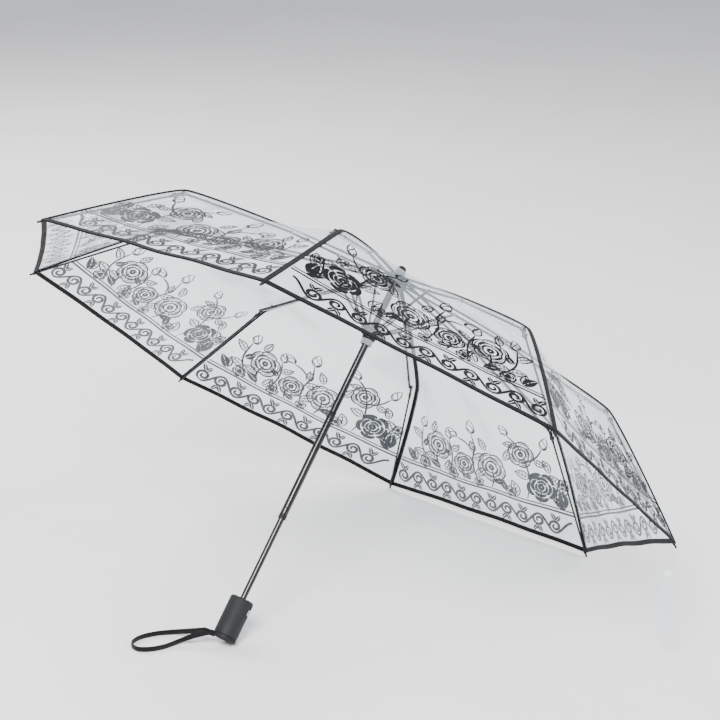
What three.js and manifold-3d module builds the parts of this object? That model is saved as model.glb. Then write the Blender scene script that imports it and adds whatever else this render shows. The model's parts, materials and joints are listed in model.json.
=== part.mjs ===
// Three-fold automatic umbrella with eight clear film panels, standing open on its
// handle's rim and two of its rib tips. Millimetres, +Z up.
//
// The umbrella is drawn in its own frame first: the shaft lies on Z, the rib tips lie
// near Z = 0 and the handle hangs below. That frame is then tilted about Y until the
// handle's rim and the two lowest tips share one plane, the surface it stands on.

import * as THREE from 'three';
import { mergeVertices } from 'three/addons/utils/BufferGeometryUtils.js';
import Module from 'manifold-3d';

const wasm = await Module();
wasm.setup();

// ---- driving dimensions ----------------------------------------------------------

const RIB_COUNT = 8;
const RIB_PITCH = (2 * Math.PI) / RIB_COUNT;
const FIRST_RIB_AZIMUTH = RIB_PITCH / 2;

// hinge points of one rib, as [distance from the shaft, height above the tips]
const CROWN_HINGE = [11, 183];
const KNEE_HINGE = [175, 162];
const ELBOW_HINGE = [335, 127];
const RIB_TIP = [489, -4];

const RIB_WIDTH = 2.6;
const RIB_HEIGHT = 2.8;
const EYE_RADIUS = 2.4;
const LANE = 2.9; // sideways step between bars that fold past each other
const OUTER_ROD_RADIUS = 1.4;
const TIP_CAP_RADIUS = 2.2;
const TIP_CAP_LENGTH = 11;

const STRETCHER_REACH = 85; // from the crown hinge along the inner rib
const RUNNER_HINGE = [10.5, 106];

const TUBE = {
  lower: { outer: 4.1, bore: 3.6, bottom: -345, top: -149 },
  middle: { outer: 5.25, bore: 4.95, bottom: -169, top: -21 },
  upper: { outer: 4.75, bore: 4.3, bottom: -41, top: 183.6 },
};

const HANDLE = { radius: 16.3, bore: 13.4, bottom: -351, top: -291.7, cap: 6, chamfer: 2 };
const BUTTON = { azimuth: THREE.MathUtils.degToRad(292.5), height: -306, radius: 5.7, dish: 8.4 };
const RUNNER_BORE = 5.6;

const FILM = { thickness: 0.3, lift: 4.4, hemRadius: 485, hemHeight: 4.2, sag: 9 };
const GAP = 0.3;

// ---- materials -------------------------------------------------------------------

const finish = (color, roughness, metalness, extra = {}) =>
  new THREE.MeshStandardMaterial({ color, roughness, metalness, ...extra });

const BLACK_STEEL = finish(0x0d0e10, 0.3, 0.9);
const BLACK_PLASTIC = finish(0x16171a, 0.5, 0.0);
const HANDLE_PLASTIC = finish(0x34373a, 0.55, 0.0);
const GREY_PLASTIC = finish(0x85898c, 0.45, 0.0);
const WEBBING = finish(0x0b0b0c, 0.9, 0.0);
const SPRING_STEEL = finish(0xb4b8bc, 0.25, 1.0);
const FIBREGLASS = finish(0x101113, 0.4, 0.1);
const CLEAR_FILM = finish(0xe4edf2, 0.1, 0.0, { transparent: true, opacity: 0.35 });
const WHITE_PLASTIC = finish(0xf1f2f2, 0.4, 0.0);

// ---- shape helpers ---------------------------------------------------------------

// one closed body with shared corners
function welded(geometry) {
  const body = geometry.clone();
  body.deleteAttribute('normal');
  if (body.attributes.uv) body.deleteAttribute('uv');
  return mergeVertices(body, 1e-3);
}

function toSolid(geometry) {
  const body = welded(geometry);
  return new wasm.Manifold(
    new wasm.Mesh({
      numProp: 3,
      vertProperties: new Float32Array(body.attributes.position.array),
      triVerts: new Uint32Array(body.index.array),
    }),
  );
}

function fromSolid(solid) {
  const cut = solid.getMesh();
  const geometry = new THREE.BufferGeometry();
  geometry.setAttribute('position', new THREE.BufferAttribute(cut.vertProperties, 3));
  geometry.setIndex(new THREE.BufferAttribute(cut.triVerts, 1));
  geometry.computeVertexNormals();
  return geometry;
}

// a profile of [radius, height] pairs turned about the shaft
function turned(profile, segments = 24) {
  const outline = profile.map(([radius, height]) => new THREE.Vector2(radius, height));
  return welded(new THREE.LatheGeometry(outline, segments).rotateX(Math.PI / 2));
}

// a tube, or with a zero bore a rod, along the shaft
function sleeve(outer, bore, bottom, top, segments = 24) {
  if (bore === 0) return turned([[0, bottom], [outer, bottom], [outer, top], [0, top]], segments);
  const wall = [[bore, bottom], [outer, bottom], [outer, top], [bore, top], [bore, bottom]];
  return turned(wall, segments);
}

// a flat bar along +X from its own pivot, with a round eye at each end
function bar(length, { width = RIB_WIDTH, height = RIB_HEIGHT, eye = EYE_RADIUS, lane = 0 } = {}) {
  const half = height / 2;
  const neck = Math.asin(half / eye);
  const outline = new THREE.Shape();
  outline.absarc(length, 0, eye, neck - Math.PI, Math.PI - neck, false);
  outline.absarc(0, 0, eye, neck, 2 * Math.PI - neck, false);
  outline.closePath();
  const plate = new THREE.ExtrudeGeometry(outline, { depth: width, bevelEnabled: false, curveSegments: 5 });
  return welded(plate.rotateX(Math.PI / 2).translate(0, lane + width / 2, 0));
}

// a coil spring of round wire about +Z; an arc takes two sides for each curve segment
function coil({ radius, wire, height, turns }) {
  const stepsPerTurn = 9;
  class Helix extends THREE.Curve {
    getPoint(t, target = new THREE.Vector3()) {
      const angle = 2 * Math.PI * turns * t;
      return target.set(radius * Math.cos(angle), radius * Math.sin(angle), height * t);
    }
  }
  const section = new THREE.Shape().absarc(0, 0, wire, 0, 2 * Math.PI, false);
  const settings = { steps: turns * stepsPerTurn, curveSegments: 3, bevelEnabled: false };
  return welded(new THREE.ExtrudeGeometry(section, { ...settings, extrudePath: new Helix() }));
}

// a thin closed shell whose top surface is given by place(across, along), both 0 to 1
function shell(place, columns, rows, thickness) {
  const corners = [];
  for (const drop of [0, thickness]) {
    for (let row = 0; row <= rows; row += 1) {
      for (let column = 0; column <= columns; column += 1) {
        const point = place(column / columns, row / rows);
        corners.push(point.x, point.y, point.z - drop);
      }
    }
  }
  const layer = (rows + 1) * (columns + 1);
  const at = (column, row, side) => side * layer + row * (columns + 1) + column;
  const faces = [];
  const quad = (a, b, c, d) => faces.push(a, b, c, a, c, d);
  // the narrow rim first, then the two skins
  for (let row = 0; row < rows; row += 1) {
    quad(at(0, row, 1), at(0, row + 1, 1), at(0, row + 1, 0), at(0, row, 0));
    quad(at(columns, row, 0), at(columns, row + 1, 0), at(columns, row + 1, 1), at(columns, row, 1));
  }
  for (let column = 0; column < columns; column += 1) {
    quad(at(column, 0, 0), at(column + 1, 0, 0), at(column + 1, 0, 1), at(column, 0, 1));
    quad(at(column, rows, 1), at(column + 1, rows, 1), at(column + 1, rows, 0), at(column, rows, 0));
  }
  for (let row = 0; row < rows; row += 1) {
    for (let column = 0; column < columns; column += 1) {
      const [a, b, c, d] = [[0, 0], [0, 1], [1, 1], [1, 0]].map(([i, j]) => [column + i, row + j]);
      quad(at(...a, 0), at(...b, 0), at(...c, 0), at(...d, 0));
      quad(at(...a, 1), at(...d, 1), at(...c, 1), at(...b, 1));
    }
  }
  const geometry = new THREE.BufferGeometry();
  geometry.setAttribute('position', new THREE.Float32BufferAttribute(corners, 3));
  geometry.setIndex(faces);
  geometry.computeVertexNormals();
  return geometry;
}

function add(group, name, geometry, material) {
  const mesh = new THREE.Mesh(geometry, material);
  mesh.name = name;
  group.add(mesh);
  return mesh;
}

// ---- shaft -----------------------------------------------------------------------

function shaft(group) {
  for (const [name, tube] of Object.entries(TUBE)) {
    add(group, `${name}_tube`, sleeve(tube.outer, tube.bore, tube.bottom, tube.top), BLACK_STEEL);
  }
  // a bush under the middle tube runs on the lower tube, and one above it guides the upper
  const { lower, middle, upper } = TUBE;
  const lowerBush = sleeve(middle.outer + 0.35, lower.outer + 0.2, middle.bottom - 6, middle.bottom - GAP);
  const upperBush = sleeve(middle.outer, upper.outer + 0.2, middle.top + GAP, middle.top + 6);
  add(group, 'lower_bush', lowerBush, BLACK_PLASTIC);
  add(group, 'upper_bush', upperBush, BLACK_PLASTIC);
  // the spring that throws the shaft open, packed inside the lower tube
  const spring = coil({ radius: 2.7, wire: 0.45, height: 176, turns: 12 });
  add(group, 'opening_spring', spring, SPRING_STEEL).position.z = lower.bottom + 3;
}

// ---- handle ----------------------------------------------------------------------

function handle(group) {
  const { radius, bore, bottom, top, cap, chamfer } = HANDLE;
  const roof = 5;
  const rim = 1.2;
  const shellProfile = [
    [bore, bottom + cap + GAP],
    [radius, bottom + cap + GAP],
    [radius, top - rim],
    [radius - rim, top],
    [TUBE.lower.outer + GAP, top],
    [TUBE.lower.outer + GAP, top - roof],
    [bore, top - roof],
    [bore, bottom + cap + GAP],
  ];
  // the dish round the button and the hole that the button slides in
  const acrossButton = (shape) => toSolid(shape.rotateY(Math.PI / 2).rotateZ(BUTTON.azimuth)
    .translate(0, 0, BUTTON.height));
  const dishDepth = 2.2;
  const dish = sleeve(BUTTON.dish, 0, radius - dishDepth, radius + 5, 28);
  const hole = sleeve(BUTTON.radius + GAP, 0, bore - 6, radius + 5, 28);
  const barrel = toSolid(turned(shellProfile, 48)).subtract(acrossButton(dish)).subtract(acrossButton(hole));
  add(group, 'handle_barrel', fromSolid(barrel), HANDLE_PLASTIC);

  // the end cap, with a spigot inside the barrel, a socket for the tube and a strap slot
  const spigot = 8;
  const capProfile = [
    [0, bottom],
    [radius - chamfer, bottom],
    [radius, bottom + chamfer],
    [radius, bottom + cap],
    [bore - GAP, bottom + cap],
    [bore - GAP, bottom + cap + spigot],
    [TUBE.lower.outer + 3, bottom + cap + spigot],
    [TUBE.lower.outer + 3, bottom + 4],
    [0, bottom + 4],
  ];
  add(group, 'handle_end_cap', turned(capProfile, 48), BLACK_PLASTIC);

  // the button: a stem through the wall and a flange behind it
  const flange = { radius: 7.2, back: 8.3, front: 10.9 };
  const face = 15;
  const buttonProfile = [
    [0, flange.back],
    [flange.radius, flange.back],
    [flange.radius, flange.front],
    [BUTTON.radius, flange.front],
    [BUTTON.radius, face - 0.6],
    [BUTTON.radius - 0.6, face],
    [0, face],
  ];
  const button = add(group, 'push_button', turned(buttonProfile, 28), BLACK_PLASTIC);
  const spring = add(group, 'button_spring', coil({ radius: 2.6, wire: 0.35, height: 2.6, turns: 3 }), SPRING_STEEL);
  for (const piece of [button, spring]) {
    piece.rotation.set(0, Math.PI / 2, BUTTON.azimuth, 'ZYX');
    piece.position.z = BUTTON.height;
  }
  const springSeat = TUBE.lower.outer + 0.9;
  spring.position.x = springSeat * Math.cos(BUTTON.azimuth);
  spring.position.y = springSeat * Math.sin(BUTTON.azimuth);
}

// ---- crown, runner and top cap ----------------------------------------------------

// slots that the ends of the bars turn in, one for each rib
function withSlots(solid, inner, outer, bottom, top, lane) {
  const slotWidth = RIB_WIDTH + 2 * 0.4;
  let cut = solid;
  for (let index = 0; index < RIB_COUNT; index += 1) {
    const slot = new THREE.BoxGeometry(outer - inner, slotWidth, top - bottom)
      .translate((inner + outer) / 2, lane, (bottom + top) / 2)
      .rotateZ(FIRST_RIB_AZIMUTH + index * RIB_PITCH);
    cut = cut.subtract(toSolid(slot));
  }
  return fromSolid(cut);
}

function crown(group) {
  const radius = 15.5;
  const [bottom, socket, top] = [176, 184, 190];
  const bore = TUBE.upper.outer + GAP;
  const body = [[bore, bottom], [radius, bottom], [radius, top - 1], [radius - 1, top], [0, top],
    [0, socket], [bore, socket], [bore, bottom]];
  const slotted = withSlots(toSolid(turned(body, 32)), 8.2, radius + 2, bottom - 1, top - 3, 0);
  add(group, 'crown', slotted, BLACK_PLASTIC);

  const seat = top + GAP;
  const cap = [[0, seat], [6, seat], [6, seat + 2.1], [14, seat + 2.1], [14, seat + 3.7],
    [8, seat + 6.5], [6.5, seat + 15], [4.2, seat + 18], [0, seat + 18.6]];
  add(group, 'top_cap', turned(cap, 24), BLACK_PLASTIC);
}

function runner(group) {
  const [bottom, neck, top] = [95, 99, 112];
  const body = [[RUNNER_BORE, bottom], [8.6, bottom], [9.4, bottom + 2], [9.4, neck], [13.6, neck + 2],
    [13.6, top - 1], [12.6, top], [RUNNER_BORE, top], [RUNNER_BORE, bottom]];
  const slotted = withSlots(toSolid(turned(body, 32)), 7.4, 16, 102.6, top + 1, -LANE);
  add(group, 'runner', slotted, BLACK_PLASTIC);
  add(group, 'runner_bush', sleeve(8.2, RUNNER_BORE, bottom - 8, bottom - GAP), GREY_PLASTIC);
}

// ---- ribs ------------------------------------------------------------------------

const span = ([fromRadius, fromHeight], [toRadius, toHeight]) => ({
  length: Math.hypot(toRadius - fromRadius, toHeight - fromHeight),
  droop: Math.atan2(fromHeight - toHeight, toRadius - fromRadius),
});

function placed(mesh, [radius, height], droop) {
  mesh.position.set(radius, 0, height);
  mesh.rotation.y = droop;
}

// the outermost bar: a flat bracket at the elbow, a round rod and a tip cap
function outerRib(length) {
  const bracket = toSolid(bar(13, { height: 4.6, eye: 3.1 }));
  const rod = toSolid(sleeve(OUTER_ROD_RADIUS, 0, 9, length - TIP_CAP_LENGTH + 1, 10).rotateY(Math.PI / 2));
  const start = length - TIP_CAP_LENGTH;
  const capProfile = [[0, start], [TIP_CAP_RADIUS, start], [TIP_CAP_RADIUS, length - 5],
    [1.3, length - 4], [1.3, length - 1], [0.8, length], [0, length]];
  const cap = toSolid(turned(capProfile, 12).rotateY(Math.PI / 2));
  return fromSolid(bracket.add(rod).add(cap));
}

function ribs(group) {
  const inner = span(CROWN_HINGE, KNEE_HINGE);
  const middle = span(KNEE_HINGE, ELBOW_HINGE);
  const outer = span(ELBOW_HINGE, RIB_TIP);
  const joint = [
    CROWN_HINGE[0] + STRETCHER_REACH * Math.cos(inner.droop),
    CROWN_HINGE[1] - STRETCHER_REACH * Math.sin(inner.droop),
  ];
  const stretcher = span(RUNNER_HINGE, joint);
  const shapes = {
    inner: bar(inner.length),
    middle: bar(middle.length, { lane: LANE }),
    outer: outerRib(outer.length),
    stretcher: bar(stretcher.length, { lane: -LANE }),
  };
  for (let index = 0; index < RIB_COUNT; index += 1) {
    const rib = new THREE.Group();
    rib.rotation.z = FIRST_RIB_AZIMUTH + index * RIB_PITCH;
    const number = index + 1;
    placed(add(rib, `inner_rib_${number}`, shapes.inner, BLACK_STEEL), CROWN_HINGE, inner.droop);
    placed(add(rib, `middle_rib_${number}`, shapes.middle, BLACK_STEEL), KNEE_HINGE, middle.droop);
    placed(add(rib, `outer_rib_${number}`, shapes.outer, FIBREGLASS), ELBOW_HINGE, outer.droop);
    placed(add(rib, `stretcher_${number}`, shapes.stretcher, BLACK_STEEL), RUNNER_HINGE, stretcher.droop);
    group.add(rib);
  }
}

// ---- film panels -----------------------------------------------------------------

// the film over a rib, from the ring under the top cap to the hem
const FILM_LINE = [
  [8.5, 191.9],
  [KNEE_HINGE[0] + 0.5, KNEE_HINGE[1] + FILM.lift],
  [ELBOW_HINGE[0] + 4, ELBOW_HINGE[1] + FILM.lift],
  [FILM.hemRadius, FILM.hemHeight + FILM.thickness],
];

function panels(group) {
  const seamClearance = GAP / 2;
  const rows = FILM_LINE.length - 1;
  const sagAtRow = [0, 0.45, 1, 0];
  const place = (across, along) => {
    const row = Math.round(along * rows);
    const [radius, height] = FILM_LINE[row];
    const fromMiddle = 2 * across - 1;
    const flat = radius * Math.cos(RIB_PITCH / 2);
    const half = radius * Math.sin(RIB_PITCH / 2) - seamClearance;
    const sag = FILM.sag * sagAtRow[row] * (1 - fromMiddle ** 2);
    return new THREE.Vector3(flat - sag * 0.3, half * fromMiddle, height - sag);
  };
  const film = shell(place, 4, rows, FILM.thickness);
  for (let index = 0; index < RIB_COUNT; index += 1) {
    const panel = add(group, `film_panel_${index + 1}`, film, CLEAR_FILM);
    panel.rotation.z = FIRST_RIB_AZIMUTH + (index + 0.5) * RIB_PITCH;
  }
}

// ---- standing it up ----------------------------------------------------------------

const umbrella = new THREE.Group();
shaft(umbrella);
handle(umbrella);
crown(umbrella);
runner(umbrella);
ribs(umbrella);
panels(umbrella);

// the two lowest tips stand this far out from the shaft, seen along the tilt axis
const tipReach = RIB_TIP[0] * Math.cos(FIRST_RIB_AZIMUTH);
const rimRadius = HANDLE.radius - HANDLE.chamfer;
const TIP_DROP = 0.33; // the tip cap's edge below the end of its centre line, square to the surface
const tilt = Math.atan2(RIB_TIP[1] - TIP_DROP - HANDLE.bottom, tipReach - rimRadius);
umbrella.rotation.y = tilt;
umbrella.updateMatrixWorld(true);
const extent = new THREE.Box3().setFromObject(umbrella, true);
const middle = extent.getCenter(new THREE.Vector3());
umbrella.position.set(-middle.x, -middle.y, -extent.min.z);
umbrella.updateMatrixWorld(true);

// ---- wrist strap and closing strap, drawn where they lie --------------------------

const object = new THREE.Group();
object.add(umbrella);

// the webbing loop leaves the handle's rim, drops to the surface and comes back
const STRAP_WIDTH = 6.4;
const STRAP_ROUTE = [
  [-229.5, 10, 21.5],
  [-237, 21, 17.5],
  [-245, 34, 11],
  [-258, 43, 5.6],
  [-276, 48, 3.6],
  [-294, 56, 3.5],
  [-305, 69, 3.5],
  [-301, 84, 3.5],
  [-283, 90, 3.5],
  [-259, 83, 3.6],
  [-243, 68, 5.6],
  [-235, 50, 10.5],
  [-231, 33, 16],
  [-229, 20, 20.5],
];

function wristStrap(group) {
  const route = new THREE.CatmullRomCurve3(STRAP_ROUTE.map((point) => new THREE.Vector3(...point)));
  const section = new THREE.Shape().absarc(0, 0, STRAP_WIDTH / 2, 0, 2 * Math.PI, false);
  const settings = { steps: 44, curveSegments: 4, bevelEnabled: false, extrudePath: route };
  add(group, 'wrist_strap', welded(new THREE.ExtrudeGeometry(section, settings)), WEBBING);
}

// the film strap hangs from the hem beside the seventh rib tip, with its snap
function closingStrap(group) {
  const corner = new THREE.Vector3(FILM.hemRadius, 0, FILM.hemHeight);
  corner.applyAxisAngle(new THREE.Vector3(0, 0, 1), FIRST_RIB_AZIMUTH + 6 * RIB_PITCH);
  corner.applyMatrix4(umbrella.matrixWorld);
  const strap = { width: 19, length: 128, thickness: 0.6 };
  const facing = THREE.MathUtils.degToRad(-50);
  const hanging = new THREE.Group();
  hanging.position.set(corner.x - 4, corner.y + 6, corner.z - 9);
  hanging.rotation.z = facing;
  const outline = new THREE.Shape();
  outline.moveTo(-strap.width / 2, 0);
  outline.lineTo(-strap.width / 2, strap.width / 2 - strap.length);
  outline.absarc(0, strap.width / 2 - strap.length, strap.width / 2, Math.PI, 2 * Math.PI, false);
  outline.lineTo(strap.width / 2, 0);
  const settings = { depth: strap.thickness, bevelEnabled: false, curveSegments: 12 };
  const film = welded(new THREE.ExtrudeGeometry(outline, settings).rotateX(Math.PI / 2));
  add(hanging, 'closing_strap', film, CLEAR_FILM);
  const snapDrop = 36;
  const snap = sleeve(4.6, 0, 0, 2.2, 20).rotateX(Math.PI / 2).translate(0, -strap.thickness - GAP, -snapDrop);
  add(hanging, 'strap_snap', snap, WHITE_PLASTIC);
  group.add(hanging);
}

wristStrap(object);
closingStrap(object);

export default object;
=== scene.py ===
import json
import math

import bmesh
import bpy
import numpy as np
from mathutils import Matrix, Vector
from mathutils.geometry import tessellate_polygon


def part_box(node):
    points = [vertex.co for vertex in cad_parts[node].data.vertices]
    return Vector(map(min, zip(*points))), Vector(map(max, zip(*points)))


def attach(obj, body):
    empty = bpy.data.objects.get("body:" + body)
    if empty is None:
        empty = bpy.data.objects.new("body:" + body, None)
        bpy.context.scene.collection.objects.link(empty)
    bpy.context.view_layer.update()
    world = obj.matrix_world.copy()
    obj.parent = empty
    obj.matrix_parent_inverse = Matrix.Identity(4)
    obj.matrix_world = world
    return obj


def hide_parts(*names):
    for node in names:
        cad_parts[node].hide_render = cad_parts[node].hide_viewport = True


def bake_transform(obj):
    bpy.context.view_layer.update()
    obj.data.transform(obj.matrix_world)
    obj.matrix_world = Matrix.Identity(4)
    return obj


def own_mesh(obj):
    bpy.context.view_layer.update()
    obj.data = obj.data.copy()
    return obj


bl_info = {
    "name": "Three-fold Clear Umbrella",
    "version": (1, 0, 0),
    "blender": (4, 5, 0),
    "location": "3D View > Sidebar > Umbrella",
    "description": "Builds an open three-fold umbrella with clear printed film panels",
    "category": "Object",
}

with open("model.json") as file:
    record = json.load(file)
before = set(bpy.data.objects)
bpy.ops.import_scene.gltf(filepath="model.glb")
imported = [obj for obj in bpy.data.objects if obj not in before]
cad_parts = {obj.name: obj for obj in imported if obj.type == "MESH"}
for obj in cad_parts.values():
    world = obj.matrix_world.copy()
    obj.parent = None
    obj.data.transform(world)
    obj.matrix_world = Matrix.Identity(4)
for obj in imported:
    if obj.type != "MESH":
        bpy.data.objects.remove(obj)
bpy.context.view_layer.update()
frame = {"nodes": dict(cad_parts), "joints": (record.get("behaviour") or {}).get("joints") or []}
JOINTS = {joint["name"]: joint for joint in frame["joints"]}

# ---- the umbrella's own directions, read from the frame ------------------------------

RIBS = 8
PITCH = 2 * math.pi / RIBS
MM = 0.001


def unit(vector):
    return vector / np.linalg.norm(vector)


def hinge_point(kind, number):
    return np.array(JOINTS[f"{kind}_hinge_{number}"]["pos_m"])


UP = -unit(np.array(JOINTS["canopy_fold"]["axis"]))
CENTRE = np.mean([hinge_point("crown", n) for n in range(1, RIBS + 1)], axis=0)
EAST = unit(hinge_point("crown", 1) + hinge_point("crown", RIBS) - 2 * CENTRE)
NORTH = np.cross(UP, EAST)


def station(point):
    """Distance from the shaft, and height above the crown's hinges."""
    from_centre = np.array(point) - CENTRE
    height = float(from_centre @ UP)
    return np.array([np.linalg.norm(from_centre - height * UP), height])


def radial(angle):
    return np.outer(np.cos(angle), EAST) + np.outer(np.sin(angle), NORTH)


def tangent(angle):
    return np.outer(np.cos(angle), NORTH) - np.outer(np.sin(angle), EAST)


def place(angle, radius, height, aside=0.0):
    """Points at these distances from the shaft and heights, on these bearings."""
    angle, radius, height, aside = np.broadcast_arrays(*np.atleast_1d(angle, radius, height, aside))
    flat = radial(angle) * radius[:, None] + tangent(angle) * aside[:, None]
    return CENTRE + flat + np.outer(height, UP)


def rib_angle(number):
    return (number - 0.5) * PITCH


CROWN_HINGE = station(hinge_point("crown", 1))
KNEE = station(hinge_point("knee", 1))
ELBOW = station(hinge_point("elbow", 1))
RUNNER_HINGE = station(hinge_point("stretcher", 1))


def rib_tip():
    """The end of an outer rib, the point of its mesh furthest from the elbow."""
    corners = np.array([v.co for v in frame["nodes"]["outer_rib_1"].data.vertices])
    reach = np.linalg.norm(corners - hinge_point("elbow", 1), axis=1)
    return station(corners[reach > reach.max() - 0.2 * MM].mean(axis=0))


TIP = rib_tip()

# ---- meshes --------------------------------------------------------------------------


class Shape:
    """The corners, faces and surface coordinates of one piece, gathered shape by shape."""

    def __init__(self):
        self.corners = []
        self.faces = []
        self.slots = []
        self.uvs = []

    def add(self, corners, faces, slot=0, uv=None, closed=True):
        corners = np.asarray(corners, float)
        if closed and enclosed(corners, faces) < 0:
            faces = [face[::-1] for face in faces]
        first = len(self.corners)
        self.corners.extend(corners.tolist())
        self.faces.extend([[first + index for index in face] for face in faces])
        self.slots.extend([slot] * len(faces))
        self.uvs.extend((np.zeros((len(corners), 2)) if uv is None else np.asarray(uv)).tolist())
        return self

    def make(self, name, materials, sharp=32):
        mesh = bpy.data.meshes.new(name)
        mesh.from_pydata(self.corners, [], self.faces)
        for material in materials:
            mesh.materials.append(material)
        mesh.polygons.foreach_set("material_index", self.slots)
        layer = mesh.uv_layers.new(name="surface")
        where = np.array(self.uvs)[[loop.vertex_index for loop in mesh.loops]]
        layer.data.foreach_set("uv", where.ravel())
        mesh.shade_smooth()
        mesh.set_sharp_from_angle(angle=math.radians(sharp))
        mesh.update()
        piece = bpy.data.objects.new(name, mesh)
        bpy.context.scene.collection.objects.link(piece)
        return piece


def enclosed(corners, faces):
    """Signed volume inside closed faces, positive where they face outwards."""
    total = 0.0
    for face in faces:
        for second, third in zip(face[1:-1], face[2:]):
            total += corners[face[0]] @ np.cross(corners[second], corners[third])
    return total


def softened(profile, radius, steps=3, ring=False):
    """The profile with each corner rounded off."""
    points = [np.array(point, float) for point in profile]
    last = len(points) - 1
    result = []
    for index, corner in enumerate(points):
        if not ring and index in (0, last):
            result.append(corner)
            continue
        before, after = points[index - 1], points[(index + 1) % len(points)]
        trim = min(radius, 0.45 * np.linalg.norm(before - corner), 0.45 * np.linalg.norm(after - corner))
        enter = corner + trim * unit(before - corner)
        leave = corner + trim * unit(after - corner)
        for t in np.linspace(0, 1, steps + 1):
            result.append((1 - t) ** 2 * enter + 2 * t * (1 - t) * corner + t**2 * leave)
    return result


def lathe(profile, origin, axis, sideways, segments=64, ring=False):
    """Corners and faces of a profile of (radius, height) turned about an axis."""
    other = np.cross(axis, sideways)
    corners, rings, faces = [], [], []
    for radius, height in profile:
        middle = origin + axis * height
        if radius < 1e-7:
            rings.append([len(corners)])
            corners.append(middle)
            continue
        rings.append(list(range(len(corners), len(corners) + segments)))
        for turn in 2 * math.pi * np.arange(segments) / segments:
            corners.append(middle + radius * (math.cos(turn) * sideways + math.sin(turn) * other))
    pairs = list(zip(rings, rings[1:])) + ([(rings[-1], rings[0])] if ring else [])
    for low, high in pairs:
        if len(low) == len(high) == 1:
            continue
        for step in range(segments):
            following = (step + 1) % segments
            if len(low) == 1:
                faces.append([low[0], high[following], high[step]])
            elif len(high) == 1:
                faces.append([low[step], low[following], high[0]])
            else:
                faces.append([low[step], low[following], high[following], high[step]])
    return corners, faces


def turned(profile, round_off=0.0, segments=64, ring=False):
    """A profile of (radius, height above the crown's hinges) turned about the shaft."""
    if round_off:
        profile = softened(profile, round_off, ring=ring)
    return lathe(profile, CENTRE, UP, EAST, segments, ring)


def swept(centres, across, outward, profile, closed_loop=False):
    """Corners, faces and surface coordinates of a profile carried along a line."""
    count, sides = len(centres), len(profile)
    corners, uv = [], []
    steps = np.linalg.norm(np.diff(centres, axis=0), axis=1)
    along = np.concatenate([[0.0], np.cumsum(steps)])
    for index in range(count):
        for width, depth in profile:
            corners.append(centres[index] + across[index] * width + outward[index] * depth)
            uv.append((along[index], width))
    faces = []
    for index in range(count if closed_loop else count - 1):
        here, there = index * sides, ((index + 1) % count) * sides
        for side in range(sides):
            following = (side + 1) % sides
            faces.append([here + side, here + following, there + following, there + side])
    if not closed_loop:
        faces.append(list(range(sides))[::-1])
        faces.append(list(range((count - 1) * sides, count * sides)))
    return corners, faces, uv


def pillow(width, thickness):
    """The cross-section of a pressed tape: flat, with round edges."""
    w, t = width / 2, thickness / 2
    return [(-w, 0), (-0.86 * w, -0.8 * t), (0, -t), (0.86 * w, -0.8 * t),
            (w, 0), (0.86 * w, 0.8 * t), (0, t), (-0.86 * w, 0.8 * t)]


def circle(radius, sides=10):
    turns = 2 * math.pi * np.arange(sides) / sides
    return [(radius * math.cos(turn), radius * math.sin(turn)) for turn in turns]


def directions(points):
    return np.array([unit(step) for step in np.gradient(points, axis=0)])


def curve_through(points, per_span=6):
    """A smooth line through chosen points, with each span's speed set by its length."""
    points = np.array(points, float)
    ends = [2 * points[0] - points[1]], [2 * points[-1] - points[-2]]
    held = np.vstack([ends[0], points, ends[1]])
    result = []
    for index in range(1, len(held) - 2):
        p0, p1, p2, p3 = held[index - 1:index + 3]
        knots = np.cumsum([0.0] + [np.linalg.norm(b - a) ** 0.5 for a, b in ((p0, p1), (p1, p2), (p2, p3))])
        t0, t1, t2, t3 = knots
        for t in np.linspace(t1, t2, per_span, endpoint=False):
            a1 = (t1 - t) / (t1 - t0) * p0 + (t - t0) / (t1 - t0) * p1
            a2 = (t2 - t) / (t2 - t1) * p1 + (t - t1) / (t2 - t1) * p2
            a3 = (t3 - t) / (t3 - t2) * p2 + (t - t2) / (t3 - t2) * p3
            b1 = (t2 - t) / (t2 - t0) * a1 + (t - t0) / (t2 - t0) * a2
            b2 = (t3 - t) / (t3 - t1) * a2 + (t - t1) / (t3 - t1) * a3
            result.append((t2 - t) / (t2 - t1) * b1 + (t - t1) / (t2 - t1) * b2)
    result.append(points[-1])
    return np.array(result)


# ---- materials -----------------------------------------------------------------------


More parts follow.
